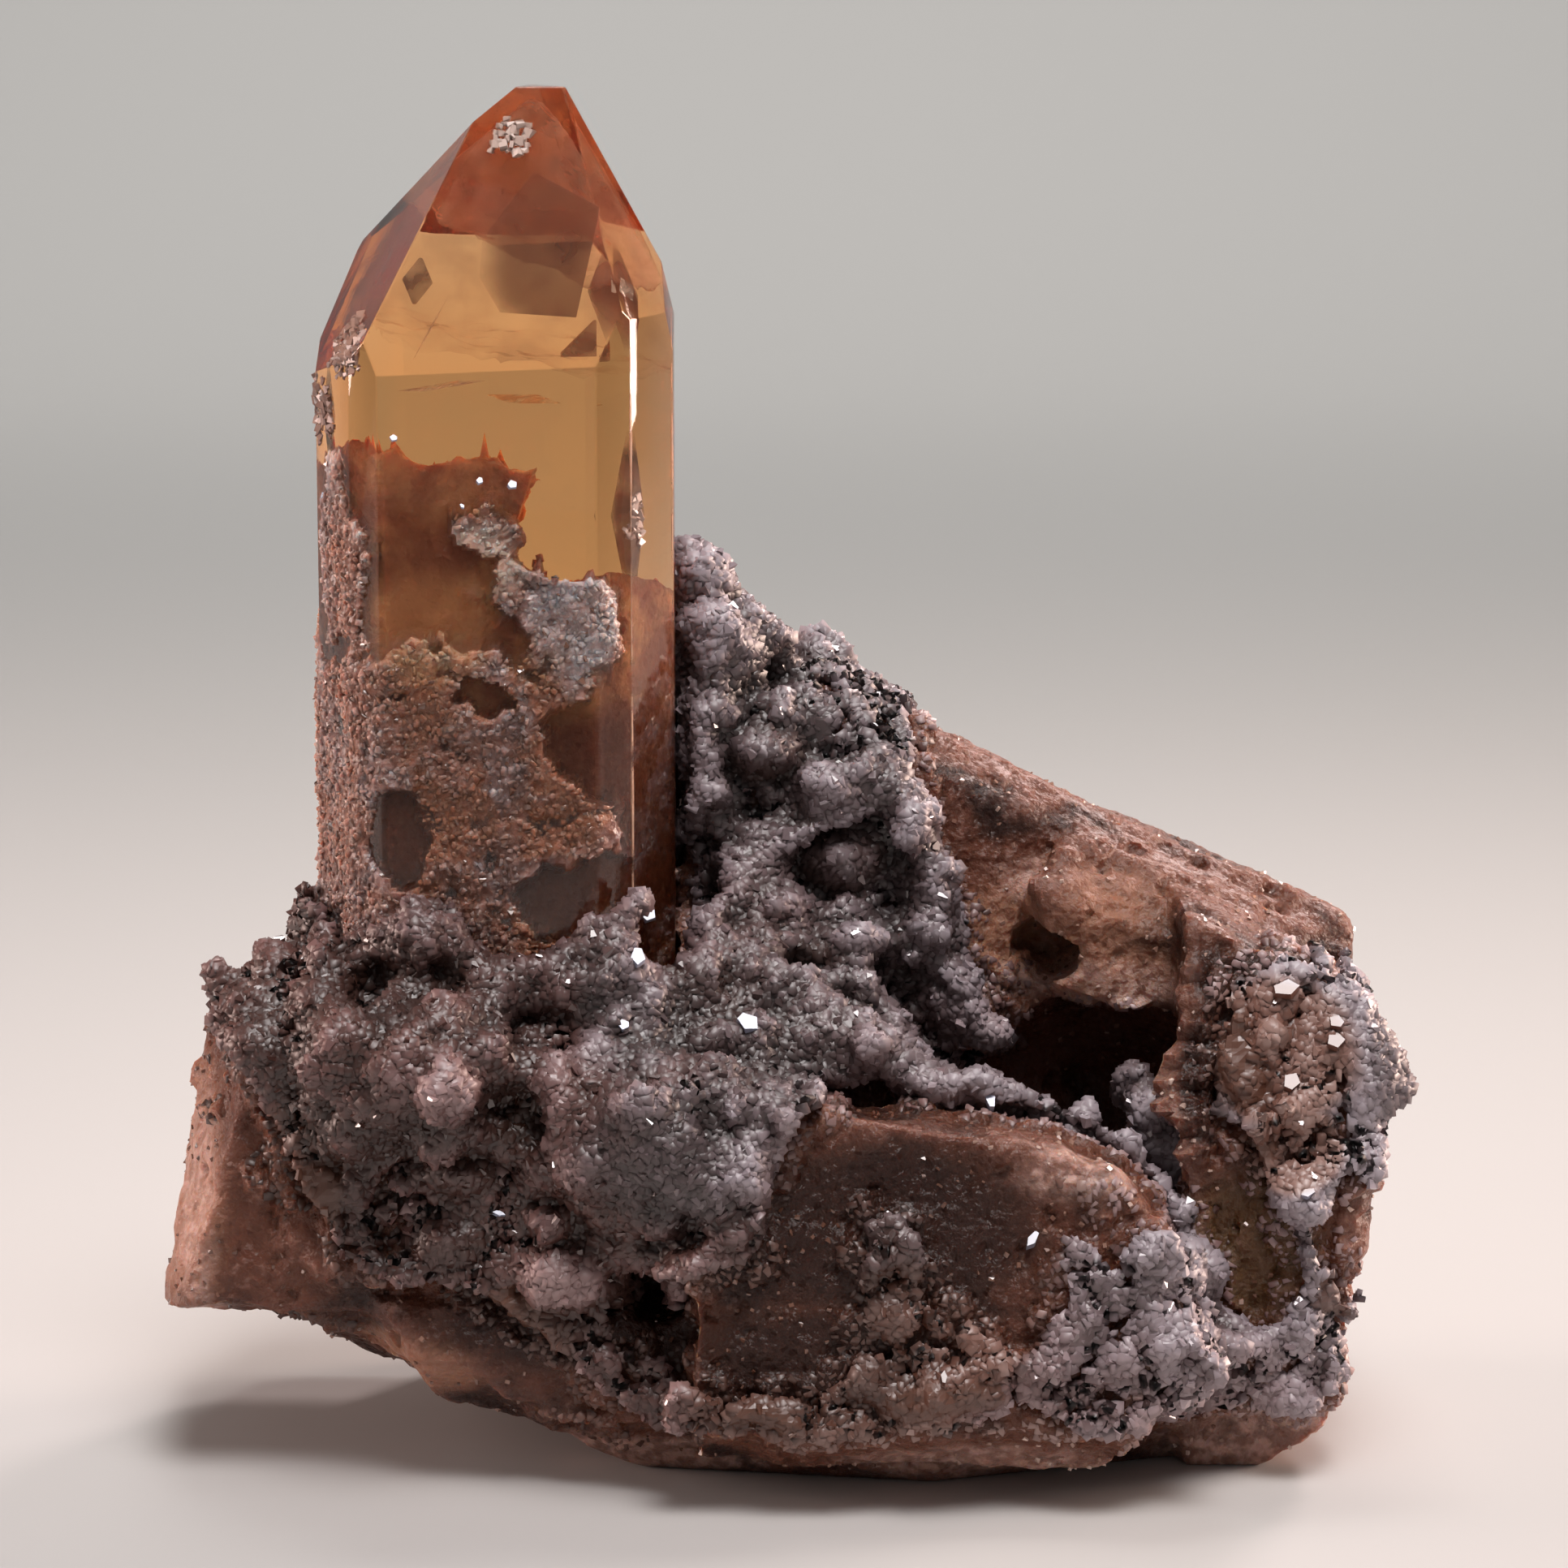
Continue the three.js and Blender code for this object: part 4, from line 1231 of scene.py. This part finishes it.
SHADED = Place.rows(
    (2.9, -8.3, 8.0, 5.8, 3.0, 3.4),
    (11.8, -4.8, 11.4, 0.9, 2.0, 2.8),
    (9.5, 0.5, 10.4, 3.5, 4.0, 2.2),
    (-6.0, -6.0, 4.8, 6.0, 2.5, 1.8),
    (1.0, -8.8, 4.2, 4.8, 3.0, 2.4),
)
# Where sugary grains lie on the base crystals, outside the crust.
SUGARED = Place.rows(
    (3.0, -8.6, 5.4, 2.6, 2.0, 1.7),
    (8.2, -8.3, 8.8, 2.2, 2.0, 1.3),
    (-5.5, -6.0, 1.6, 4.0, 3.0, 1.2),
    (14.9, -3.5, 14.3, 2.4, 3.5, 1.3),
    (-13.5, -4.5, 4.6, 2.5, 2.0, 1.0),
    (-14.4, -5.6, 9.6, 1.5, 2.0, 2.2),
    (-16.2, -3.0, 11.0, 1.5, 3.5, 1.5),
    (9.8, 1.0, 12.6, 3.0, 2.0, 0.8),
    (7.0, 1.6, 13.2, 1.0, 2.0, 1.0),
)


@dataclass
class BaseCrystals:
    """The recumbent crystals, grown through each other round the hollow."""

    step: float = 0.19
    calm: int = 5

    def build(self) -> None:
        """Builds and dresses the crystals, and the grains that lie on them."""
        crust = cad_copy("druse_crust", "crust helper")
        piece = cad_copy("base_crystals", "brown_crystals")
        even_mesh(piece, self.step, self.calm)
        self.weather(piece, crust)
        finish = Druse("base grains", WARM_DRUSE, BROWN_DRUSE)
        Sprinkle("base_grains", 0.21, 0.18, 31, sunk=0.05).grow(piece, finish.make())
        sugar = Sprinkle("sugar_grains", 0.42, 0.1, 33, spread=0.5, rounded=False, where="sugary")
        sugar.grow(piece, SPARKLING_SUGAR.make())
        settle(piece, BrownTopaz().make(), "base_crystals")
        discard(crust)

    def weather(self, piece: Piece, crust: Piece) -> None:
        """Gives the faces growth steps, pits and lumps, and stores where grains lie."""
        shaping = Shaping(piece)
        point = shaping.point
        hill = shaping.noise(shaping.warped(point, 0.2, 0.8), 0.16, 2) * 14
        steps = hill.math("FLOOR", hill) * 0.055
        pits = shaping.cells(shaping.warped(point, 0.5, 0.4), 0.9).rise(0.28, 0.1) * -0.2
        chipped = (shaping.noise(point, 0.45, 4) - 0.66) * 0.7
        chipped = chipped + (shaping.noise(point, 1.5, 4) - 0.5) * 0.3
        lumpy = (1 - shaping.cells(shaping.warped(point, 0.6, 0.4), 1.1, 0.2) ** 2.0) * 0.35
        ragged = (shaping.noise(point, 0.7, 5) - 0.5) * 2.4
        sugared = (shaping.near_any(point, SUGARED) * 0.8 + ragged).rise(0.65, 0.9)
        close = shaping.distance_to(crust).rise(0.8, 0.15)
        feathered = (close + ragged).rise(0.5, 0.8)
        grainy = sugared.at_least(feathered)
        above = shaping.part(point, "Z").rise(0.1, 0.8)
        swollen = shaping.near(point, (16.6, -3.5, 7.6), (2.0, 4.0, 2.4)) * 0.5
        swollen -= shaping.near(point, (-12.5, -4.5, 2.4), (2.8, 4.0, 1.8)) * 0.6
        broken = shaping.near(point, (11.3, -4.6, 12.0), (1.6, 2.2, 5.5))
        chipped += broken * ((shaping.noise(point, 0.42, 4) - 0.52) * 7.0)
        shaping.raise_surface((steps + pits + chipped + lumpy * grainy + swollen - 0.28) * above)
        shaping.store("relief", shaping.relief(14))
        shaping.store("form", shaping.relief(60))
        shaping.store("grainy", grainy * above)
        strewn = shaping.noise(shaping.warped(point, 0.5, 0.5), 0.8, 4).rise(0.46, 0.62)
        shaping.store("sugary", strewn * (1 - grainy) * above)
        shaping.apply()
        smooth(piece, math.radians(35))


# ---------------------------------------------------------------- the druse crust

# Where the druse is greyer than round about.
COOLED = Place.rows(
    (-3.4, -9.3, 10.4, 3.6, 3.0, 2.7),
    (-4.4, -7.0, 13.6, 2.0, 3.0, 2.0),
    (17.2, -3.5, 11.5, 1.8, 4.0, 3.6),
)
# Where it is paler.
PALE = Place.rows(
    (-9.6, -8.8, 12.4, 2.0, 2.5, 1.5),
    (-0.9, -9.5, 10.5, 1.7, 2.8, 2.3),
    (5.5, -9.0, 1.8, 4.5, 3.0, 1.2),
    (-6.0, -7.6, 6.4, 1.6, 2.0, 1.2),
    (-3.9, -6.0, 14.4, 1.2, 2.4, 1.8),
    (-5.6, -7.5, 13.0, 1.4, 2.4, 1.0),
    (-1.5, 0.8, 24.4, 2.0, 3.0, 2.4),
    (10.8, -7.8, 5.2, 1.6, 2.5, 2.0),
    (17.2, -3.5, 11.5, 1.6, 3.5, 3.4),
)
# Where it is browner.
BROWNED = Place.rows(
    (13.8, -5.5, 12.5, 3.2, 4.0, 2.7),
    (14.2, -5.5, 9.8, 2.0, 4.0, 1.6),
    (1.0, -8.8, 3.4, 5.5, 3.0, 2.6),
    (6.8, -8.0, 9.8, 2.4, 2.5, 1.2),
    (-13.8, -5.5, 9.0, 2.4, 3.0, 3.0),
    (4.2, -9.0, 5.4, 3.5, 3.0, 2.6),
    (-9.0, -6.5, 4.6, 4.0, 3.0, 1.8),
)
# The crust's own lumps and how high they rise, then its dents and how deep they sink; the dents also get
# painted shade.
LUMPS = Place.rows(
    (-12.1, -8.3, 13.5, 1.1, 1.4, 1.1, 0.4),
    (-10.7, -8.5, 12.8, 1.3, 1.5, 1.2, 0.6),
    (-9.1, -9.3, 12.0, 1.4, 1.6, 1.4, 0.6),
    (-8.1, -8.1, 13.3, 1.0, 1.3, 1.0, 0.6),
    (-9.7, -7.9, 10.3, 0.8, 1.2, 0.8, 0.5),
    (-2.8, -9.6, 10.2, 3.4, 2.5, 2.8, 0.6),
    (-0.9, -9.6, 9.8, 1.2, 1.6, 2.2, 0.4),
    (-6.3, -7.6, 6.3, 1.8, 1.6, 1.3, 0.7),
    (-5.2, -7.5, 3.5, 1.1, 1.2, 1.0, 0.4),
    (-2.3, -9.4, 3.5, 1.5, 1.2, 1.0, 0.3),
    (1.1, 0.4, 19.1, 1.4, 1.6, 1.3, 0.7),
    (3.6, -0.3, 18.0, 1.1, 1.4, 1.4, 0.7),
    (2.2, -1.6, 15.0, 1.4, 1.5, 1.0, 0.6),
    (0.5, -3.5, 14.2, 1.1, 1.3, 1.0, 0.5),
    (0.1, 1.1, 21.3, 1.1, 1.3, 1.0, 0.5),
    (5.7, 0.1, 11.9, 1.1, 1.3, 1.1, 0.5),
    (2.4, -5.9, 12.8, 1.0, 1.3, 0.9, 0.5),
    (4.7, -5.1, 11.3, 1.1, 1.3, 0.9, 0.5),
    (10.3, -3.1, 10.4, 1.0, 1.3, 0.9, 0.5),
    (11.2, -3.5, 9.0, 1.1, 1.3, 1.1, 0.5),
    (-1.9, -5.7, 13.1, 0.9, 1.2, 0.8, 0.5),
    (-5.2, -5.7, 14.5, 0.7, 1.1, 0.7, 0.5),
    (14.7, -6.3, 8.3, 1.0, 1.2, 1.1, 0.4),
    (15.6, -5.3, 11.0, 1.0, 1.2, 2.4, 0.4),
    (-10.2, -5.3, 16.4, 1.6, 1.2, 1.2, 0.4),
    (10.3, -9.0, 7.2, 1.5, 1.2, 2.0, 0.4),
    (-2.0, 1.5, 24.6, 2.4, 3.0, 2.0, 0.6),
    (-2.7, 1.5, 25.6, 1.5, 2.6, 1.7, 1.1),
    (1.3, 1.5, 23.5, 1.4, 2.5, 1.3, -0.25),
    (18.2, -4.0, 10.6, 1.3, 3.0, 1.3, -0.8),
    (-16.6, -3.0, 13.8, 1.1, 3.0, 1.2, -0.9),
    (-14.7, -3.0, 14.9, 1.2, 2.5, 1.0, 0.4),
)
DENTS = Place.rows(
    (-7.4, -7.7, 11.0, 1.0, 1.8, 1.3, 1.4),
    (-9.1, -6.7, 9.3, 1.4, 1.6, 0.9, 1.0),
    (-9.4, -6.9, 7.3, 1.6, 1.5, 0.8, 0.8),
    (-11.7, -5.6, 14.5, 0.8, 1.5, 0.8, 1.1),
    (-9.4, -5.7, 14.7, 0.7, 1.5, 0.7, 1.0),
    (-12.9, -8.0, 11.1, 0.8, 1.5, 0.8, 0.9),
    (0.7, -8.6, 10.2, 0.8, 1.8, 2.2, 1.2),
    (-4.3, -7.2, 5.6, 1.4, 1.8, 1.0, 1.3),
    (-1.7, -9.0, 6.6, 2.6, 1.8, 1.5, 0.9),
    (-0.5, 1.0, 19.9, 1.5, 1.8, 1.0, 1.5),
    (1.7, 0.6, 16.8, 1.6, 1.8, 1.3, 1.5),
    (0.8, -2.3, 14.6, 1.4, 1.6, 0.5, 1.0),
    (6.4, 0.2, 10.8, 1.4, 1.6, 0.8, 0.9),
    (12.6, -5.4, 9.8, 0.9, 1.4, 0.8, 0.9),
    (17.4, -4.5, 12.0, 1.2, 4.0, 2.5, 0.3),
    (-17.4, -4.0, 13.0, 1.4, 3.5, 1.4, 0.4),
    (-2.6, -3.4, 14.2, 1.6, 1.8, 0.9, 0.9),
)
# Where the crust is even.
CALM = Place.rows(
    (-14.6, -3.0, 12.6, 3.6, 5.0, 3.4),
    (-3.0, -9.8, 10.2, 2.8, 2.5, 2.6),
    (15.8, -4.5, 12.0, 2.2, 4.0, 3.0),
)
# Where the crust is so thin that the clouded topaz shows.
BARE = Place.rows(
    (-13.6, -6.5, 8.2, 1.4, 2.0, 2.0),
    (-8.3, -7.2, 4.9, 2.6, 2.0, 1.3),
    (-1.9, -9.2, 6.2, 2.6, 1.5, 1.2),
    (12.6, -4.6, 13.0, 1.3, 1.5, 1.3),
    (12.9, -5.1, 11.8, 1.2, 1.5, 1.2),
    (13.2, -5.6, 9.8, 1.0, 1.5, 1.0),
    (15.9, -5.5, 5.6, 0.9, 1.5, 1.3),
    (4.6, -9.5, 3.6, 2.6, 1.5, 0.8),
    (-0.5, -9.5, 2.9, 1.5, 1.5, 0.7),
)


@dataclass
class DruseCrust:
    """The crust of sugary druse: lumps on lumps, with grains grown all over them.

    `spans` are the X between which each of the meshes of grains lies.
    """

    coarse_step: float = 0.26
    fine_step: float = 0.182
    lump_edge: float = 0.1  # the share of a lump's reach where it starts to fall
    spans: tuple[float, ...] = (-FAR, -9.6, -5.2, 0.6, 6.8, FAR)

    def build(self) -> None:
        """Builds and dresses the crust and its grains."""
        base = cad_copy("base_crystals", "base helper")
        crust = cad_copy("druse_crust", "druse_lumps")
        even_mesh(crust, self.coarse_step, 3)
        self.swell(crust)
        even_mesh(crust, self.fine_step)
        self.roughen(crust, base)
        material = Druse().make()
        sparkling = Druse("sparkling druse", roughness=0.2, gloss=0.7, softness=0.0).make()
        accents = Sprinkle("druse_accents", 0.6, 0.2, 11, cuts=3, rounded=False)
        accents.grow(crust, sparkling)
        for number, span in enumerate(zip(self.spans, self.spans[1:])):
            name = f"druse_grains_{number + 1}"
            grains = Sprinkle(name, 0.178, 0.25, 12 + 5 * number, spread=0.5, sunk=0.08, span=span)
            grains.grow(crust, material)
        settle(crust, material, "druse_crust")
        discard(base)

    def swell(self, crust: Piece) -> None:
        """Raises round lumps of two sizes and sinks pits between them."""
        shaping = Shaping(crust)
        point = shaping.warped(shaping.point, 0.7, 0.45)
        big = (1 - shaping.cells(point, 0.55, 0.25) ** 2.0) * 0.5
        small = (1 - shaping.cells(point, 1.35, 0.25) ** 2.0) * 0.2
        ragged = (shaping.noise(shaping.point, 0.8, 4) - 0.5) * 1.2
        pits = shaping.noise(shaping.point, 0.42, 3).rise(0.58, 0.70) * -0.9
        even = self._bare(shaping).at_least(shaping.near_any(shaping.point, CALM) * 0.75)
        own = self._total(shaping, LUMPS) - self._total(shaping, DENTS)
        above = shaping.part(shaping.point, "Z").rise(0.2, 1.2)
        shaping.raise_surface(((big + small + ragged) * (1 - even * 0.8) + pits + own - 0.68) * above)
        shaping.apply()

    def _total(self, shaping: Shaping, places: list[Place]) -> Signal:
        """How far all of some places raise the surface."""
        edge = self.lump_edge
        masks = [shaping.near(shaping.point, place.centre, place.reach, edge) for place in places]
        return reduce(Signal.__add__, [mask * place.height for mask, place in zip(masks, places)])

    def _bare(self, shaping: Shaping) -> Signal:
        """A ragged mask of the bare places."""
        ragged = (shaping.noise(shaping.point, 1.1, 4) - 0.5) * 1.4
        bent = shaping.warped(shaping.point, 0.5, 0.45)
        return (shaping.near_any(bent, BARE) + ragged).rise(0.45, 0.7)

    def roughen(self, crust: Piece, base: Piece) -> None:
        """Adds fine knobs, and stores where grains grow, how far the surface stands out, and painted shade in
        its dents.
        """
        shaping = Shaping(crust)
        point = shaping.warped(shaping.point, 1.5, 0.2)
        bare = self._bare(shaping)
        knobs = (1 - shaping.cells(point, 2.6, 0.2) ** 2.0) * 0.13
        above = shaping.part(shaping.point, "Z").rise(0.2, 0.6)
        shaping.raise_surface((knobs - 0.08) * above)
        shaping.store("relief", shaping.relief(12))
        shaping.store("form", shaping.relief(90))
        # Painted shade in the dents.
        shaping.store("shade", shaping.near_any(shaping.point, DENTS))
        shaping.store("bare", bare * 0.8)
        clear = shaping.distance_to(base).rise(0.22, 0.32)
        shaping.store("grainy", clear * (1 - bare * 0.7) * above)
        shaping.apply()


# ---------------------------------------------------------------- the bright crystals


@dataclass
class BrightCrystals:
    """A few larger flat crystals in the druse that are turned to the light, coloured a pale blue that is
    painted reflection.
    """

    # X, Z and half-length of each
    places: tuple[Triple, ...] = (
        (-4.1, 15.1, 0.34),
        (-3.9, 15.7, 0.26),
        (-4.5, 13.4, 0.2),
        (-1.0, 13.3, 0.4),
        (5.8, 11.0, 0.34),
        (6.9, 7.7, 0.34),
        (14.2, 14.0, 0.46),
        (15.6, 13.1, 0.26),
        (15.6, 12.6, 0.3),
        (14.3, 11.5, 0.34),
        (14.7, 8.6, 0.26),
        (-8.0, 8.1, 0.22),
        (-13.1, 27.6, 0.2),
        (-8.5, 28.4, 0.13),
        (-7.6, 28.3, 0.16),
        (-10.9, 29.6, 0.13),
        (-9.0, 27.7, 0.1),
        (4.4, 4.2, 0.24),
    )
    # the direction, tilt and distance of each one's side faces
    sides: tuple[Triple, ...] = (
        (20, 90, 0.62),
        (85, 80, 0.8),
        (150, 96, 0.7),
        (225, 84, 0.75),
        (300, 92, 0.6),
    )

    def build(self) -> None:
        """Builds them on whatever stands foremost where they are."""
        bpy.context.view_layer.update()
        names = ("druse_lumps", "brown_crystals", "clear_crystal")
        grounds = [bpy.data.objects[name] for name in names]
        crystals = [self._crystal(grounds, number, *place) for number, place in enumerate(self.places)]
        piece = joined(crystals, "bright_crystals")
        # Pale blue: a painted reflection of bluish light on their faces.
        clear = Palette(*((0.42, 0.46, 0.60),) * 4)
        finish = Druse("bright crystal", clear, clear, roughness=0.3, gloss=0.0)
        settle(piece, finish.make())

    def _crystal(self, grounds: list[Piece], number: int, x: float, z: float, half: float) -> Piece:
        """One flat crystal, its broad face turned half-way between the key light and the viewer.

        Args:
            grounds: the settled pieces that it may grow on.
            number: its number, which also turns it about its own axis.
            x: its place across.
            z: its height.
            half: half its length.

        Returns:
            The crystal, in millimetres.
        """
        start = Vector((x, -30, z)) * MM
        hits = [ground.ray_cast(start, Vector((0, 1, 0))) for ground in grounds]
        place = min((hit[1] for hit in hits if hit[0]), key=lambda point: point.y)
        ways = [(Vector(source) - place).normalized() for source in (KEY_PLACE, CAMERA_PLACE)]
        facing = (ways[0] + ways[1]).normalized()
        faces = [Face(*side) for side in self.sides]
        crystal = faceted("flat", [*faces, Face(0, 0, 0.38), Face(0, 180, 0.38)])
        sizes = (half * (0.72 + 0.3 * math.sin(number)), half, half)
        turn = facing.to_track_quat("Z", "Y") @ Euler((0, 0, 2.4 * number)).to_quaternion()
        placed(crystal, sizes, turn.to_euler(), place / MM + facing * 0.1)
        return crystal


# ---------------------------------------------------------------- the studio

KEY_PLACE = (0.05, -0.13, 0.36)
CAMERA_PLACE = (0.0, -0.1490, 0.04547)


@dataclass(frozen=True)
class Lamp:
    """A square soft light.

    `size` is its side and `aim` what it looks at, in metres. `power` is in watts, and `spread` is
    the angle that its light fans out to, in degrees.
    """

    name: str
    place: Triple
    size: float
    power: float
    colour: Triple
    spread: float
    aim: Triple = (0.0, 0.0, 0.015)

    def build(self) -> None:
        """Adds the light."""
        turn = (Vector(self.aim) - Vector(self.place)).to_track_quat("-Z", "Y").to_euler()
        bpy.ops.object.light_add(type="AREA", location=self.place, rotation=turn)
        lamp = bpy.context.object
        lamp.name = self.name
        lamp.data.shape = "SQUARE"
        lamp.data.size = self.size
        lamp.data.energy = self.power
        lamp.data.color = self.colour
        lamp.data.spread = math.radians(self.spread)


LAMPS = [
    Lamp("key", KEY_PLACE, 0.2, 0.118, (1.0, 0.95, 0.94), 36),
    Lamp("right rim", (0.325, 0.12, 0.075), 0.14, 0.18, (1.0, 0.74, 0.62), 60),
    Lamp("left rim", (-0.34, 0.04, 0.09), 0.14, 0.11, (1.0, 0.74, 0.66), 60),
    Lamp("back rim", (0.15, 0.27, 0.22), 0.08, 0.016, (1.0, 0.82, 0.78), 24),
    Lamp("backdrop", (0.0, 0.32, 0.8), 0.3, 0.9, (1.0, 0.98, 0.95), 70, aim=(0.0, 0.40, 0.0)),
]


@dataclass
class Studio:
    """The pale sweep, the soft lights and the camera. Lengths are in metres."""

    half_width: float = 0.9
    depth: float = 0.55
    height: float = 0.9
    bend: float = 0.25  # the part of the sweep's corner that is round
    paper: Triple = (0.48, 0.472, 0.464)
    ambient: Triple = (1, 0.97, 0.96)
    ambient_strength: float = 0.16
    camera_tilt: float = 80.0
    lens: float = 120.0  # in millimetres, like the sensor
    sensor: float = 36.0

    def build(self) -> None:
        """Builds the sweep, the lights and the camera."""
        self.sweep()
        for lamp in LAMPS:
            lamp.build()
        world = bpy.data.worlds.new("studio")
        world.use_nodes = True
        background = world.node_tree.nodes["Background"]
        background.inputs["Color"].default_value = (*self.ambient, 1)
        background.inputs["Strength"].default_value = self.ambient_strength
        bpy.context.scene.world = world
        self.camera()

    def sweep(self) -> None:
        """A pale floor that curves up into a backdrop."""
        bpy.ops.object.select_all(action="DESELECT")
        place = (0, self.depth - self.half_width, 0)
        bpy.ops.mesh.primitive_plane_add(size=2 * self.half_width, location=place)
        floor = named("floor")
        bpy.ops.object.transform_apply(location=True)
        bpy.ops.object.mode_set(mode="EDIT")
        bpy.ops.mesh.select_mode(type="EDGE")
        bpy.ops.mesh.select_all(action="DESELECT")
        bpy.ops.object.mode_set(mode="OBJECT")
        for edge in floor.data.edges:
            ends = [floor.data.vertices[i].co.y for i in edge.vertices]
            edge.select = min(ends) > self.depth - 0.01
        bpy.ops.object.mode_set(mode="EDIT")
        bpy.ops.mesh.extrude_region_move(TRANSFORM_OT_translate={"value": (0, 0, self.height)})
        bpy.ops.object.mode_set(mode="OBJECT")
        bend = floor.modifiers.new("sweep", "BEVEL")
        bend.width = self.bend
        bend.segments = 24
        bend.limit_method = "ANGLE"
        apply_modifiers(floor)
        smooth(floor)
        surface = {"Base Color": self.paper, "Roughness": 0.8}
        floor.data.materials.append(Shading("paper").finished(surface))

    def camera(self) -> None:
        """Adds the camera."""
        turn = Euler((math.radians(self.camera_tilt), 0, 0))
        bpy.ops.object.camera_add(location=CAMERA_PLACE, rotation=turn)
        camera = bpy.context.object
        camera.data.lens = self.lens
        camera.data.sensor_width = self.sensor
        camera.data.clip_start = 0.01
        bpy.context.scene.camera = camera


def main() -> None:
    """Builds the specimen and its studio."""
    logging.basicConfig(level=logging.INFO, format="%(name)s: %(message)s")
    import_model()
    bpy.context.scene.view_settings.view_transform = "Standard"
    for part in (UprightCrystal(), BaseCrystals(), DruseCrust(), BrightCrystals(), Studio()):
        part.build()


if __name__ == "__main__":
    main()
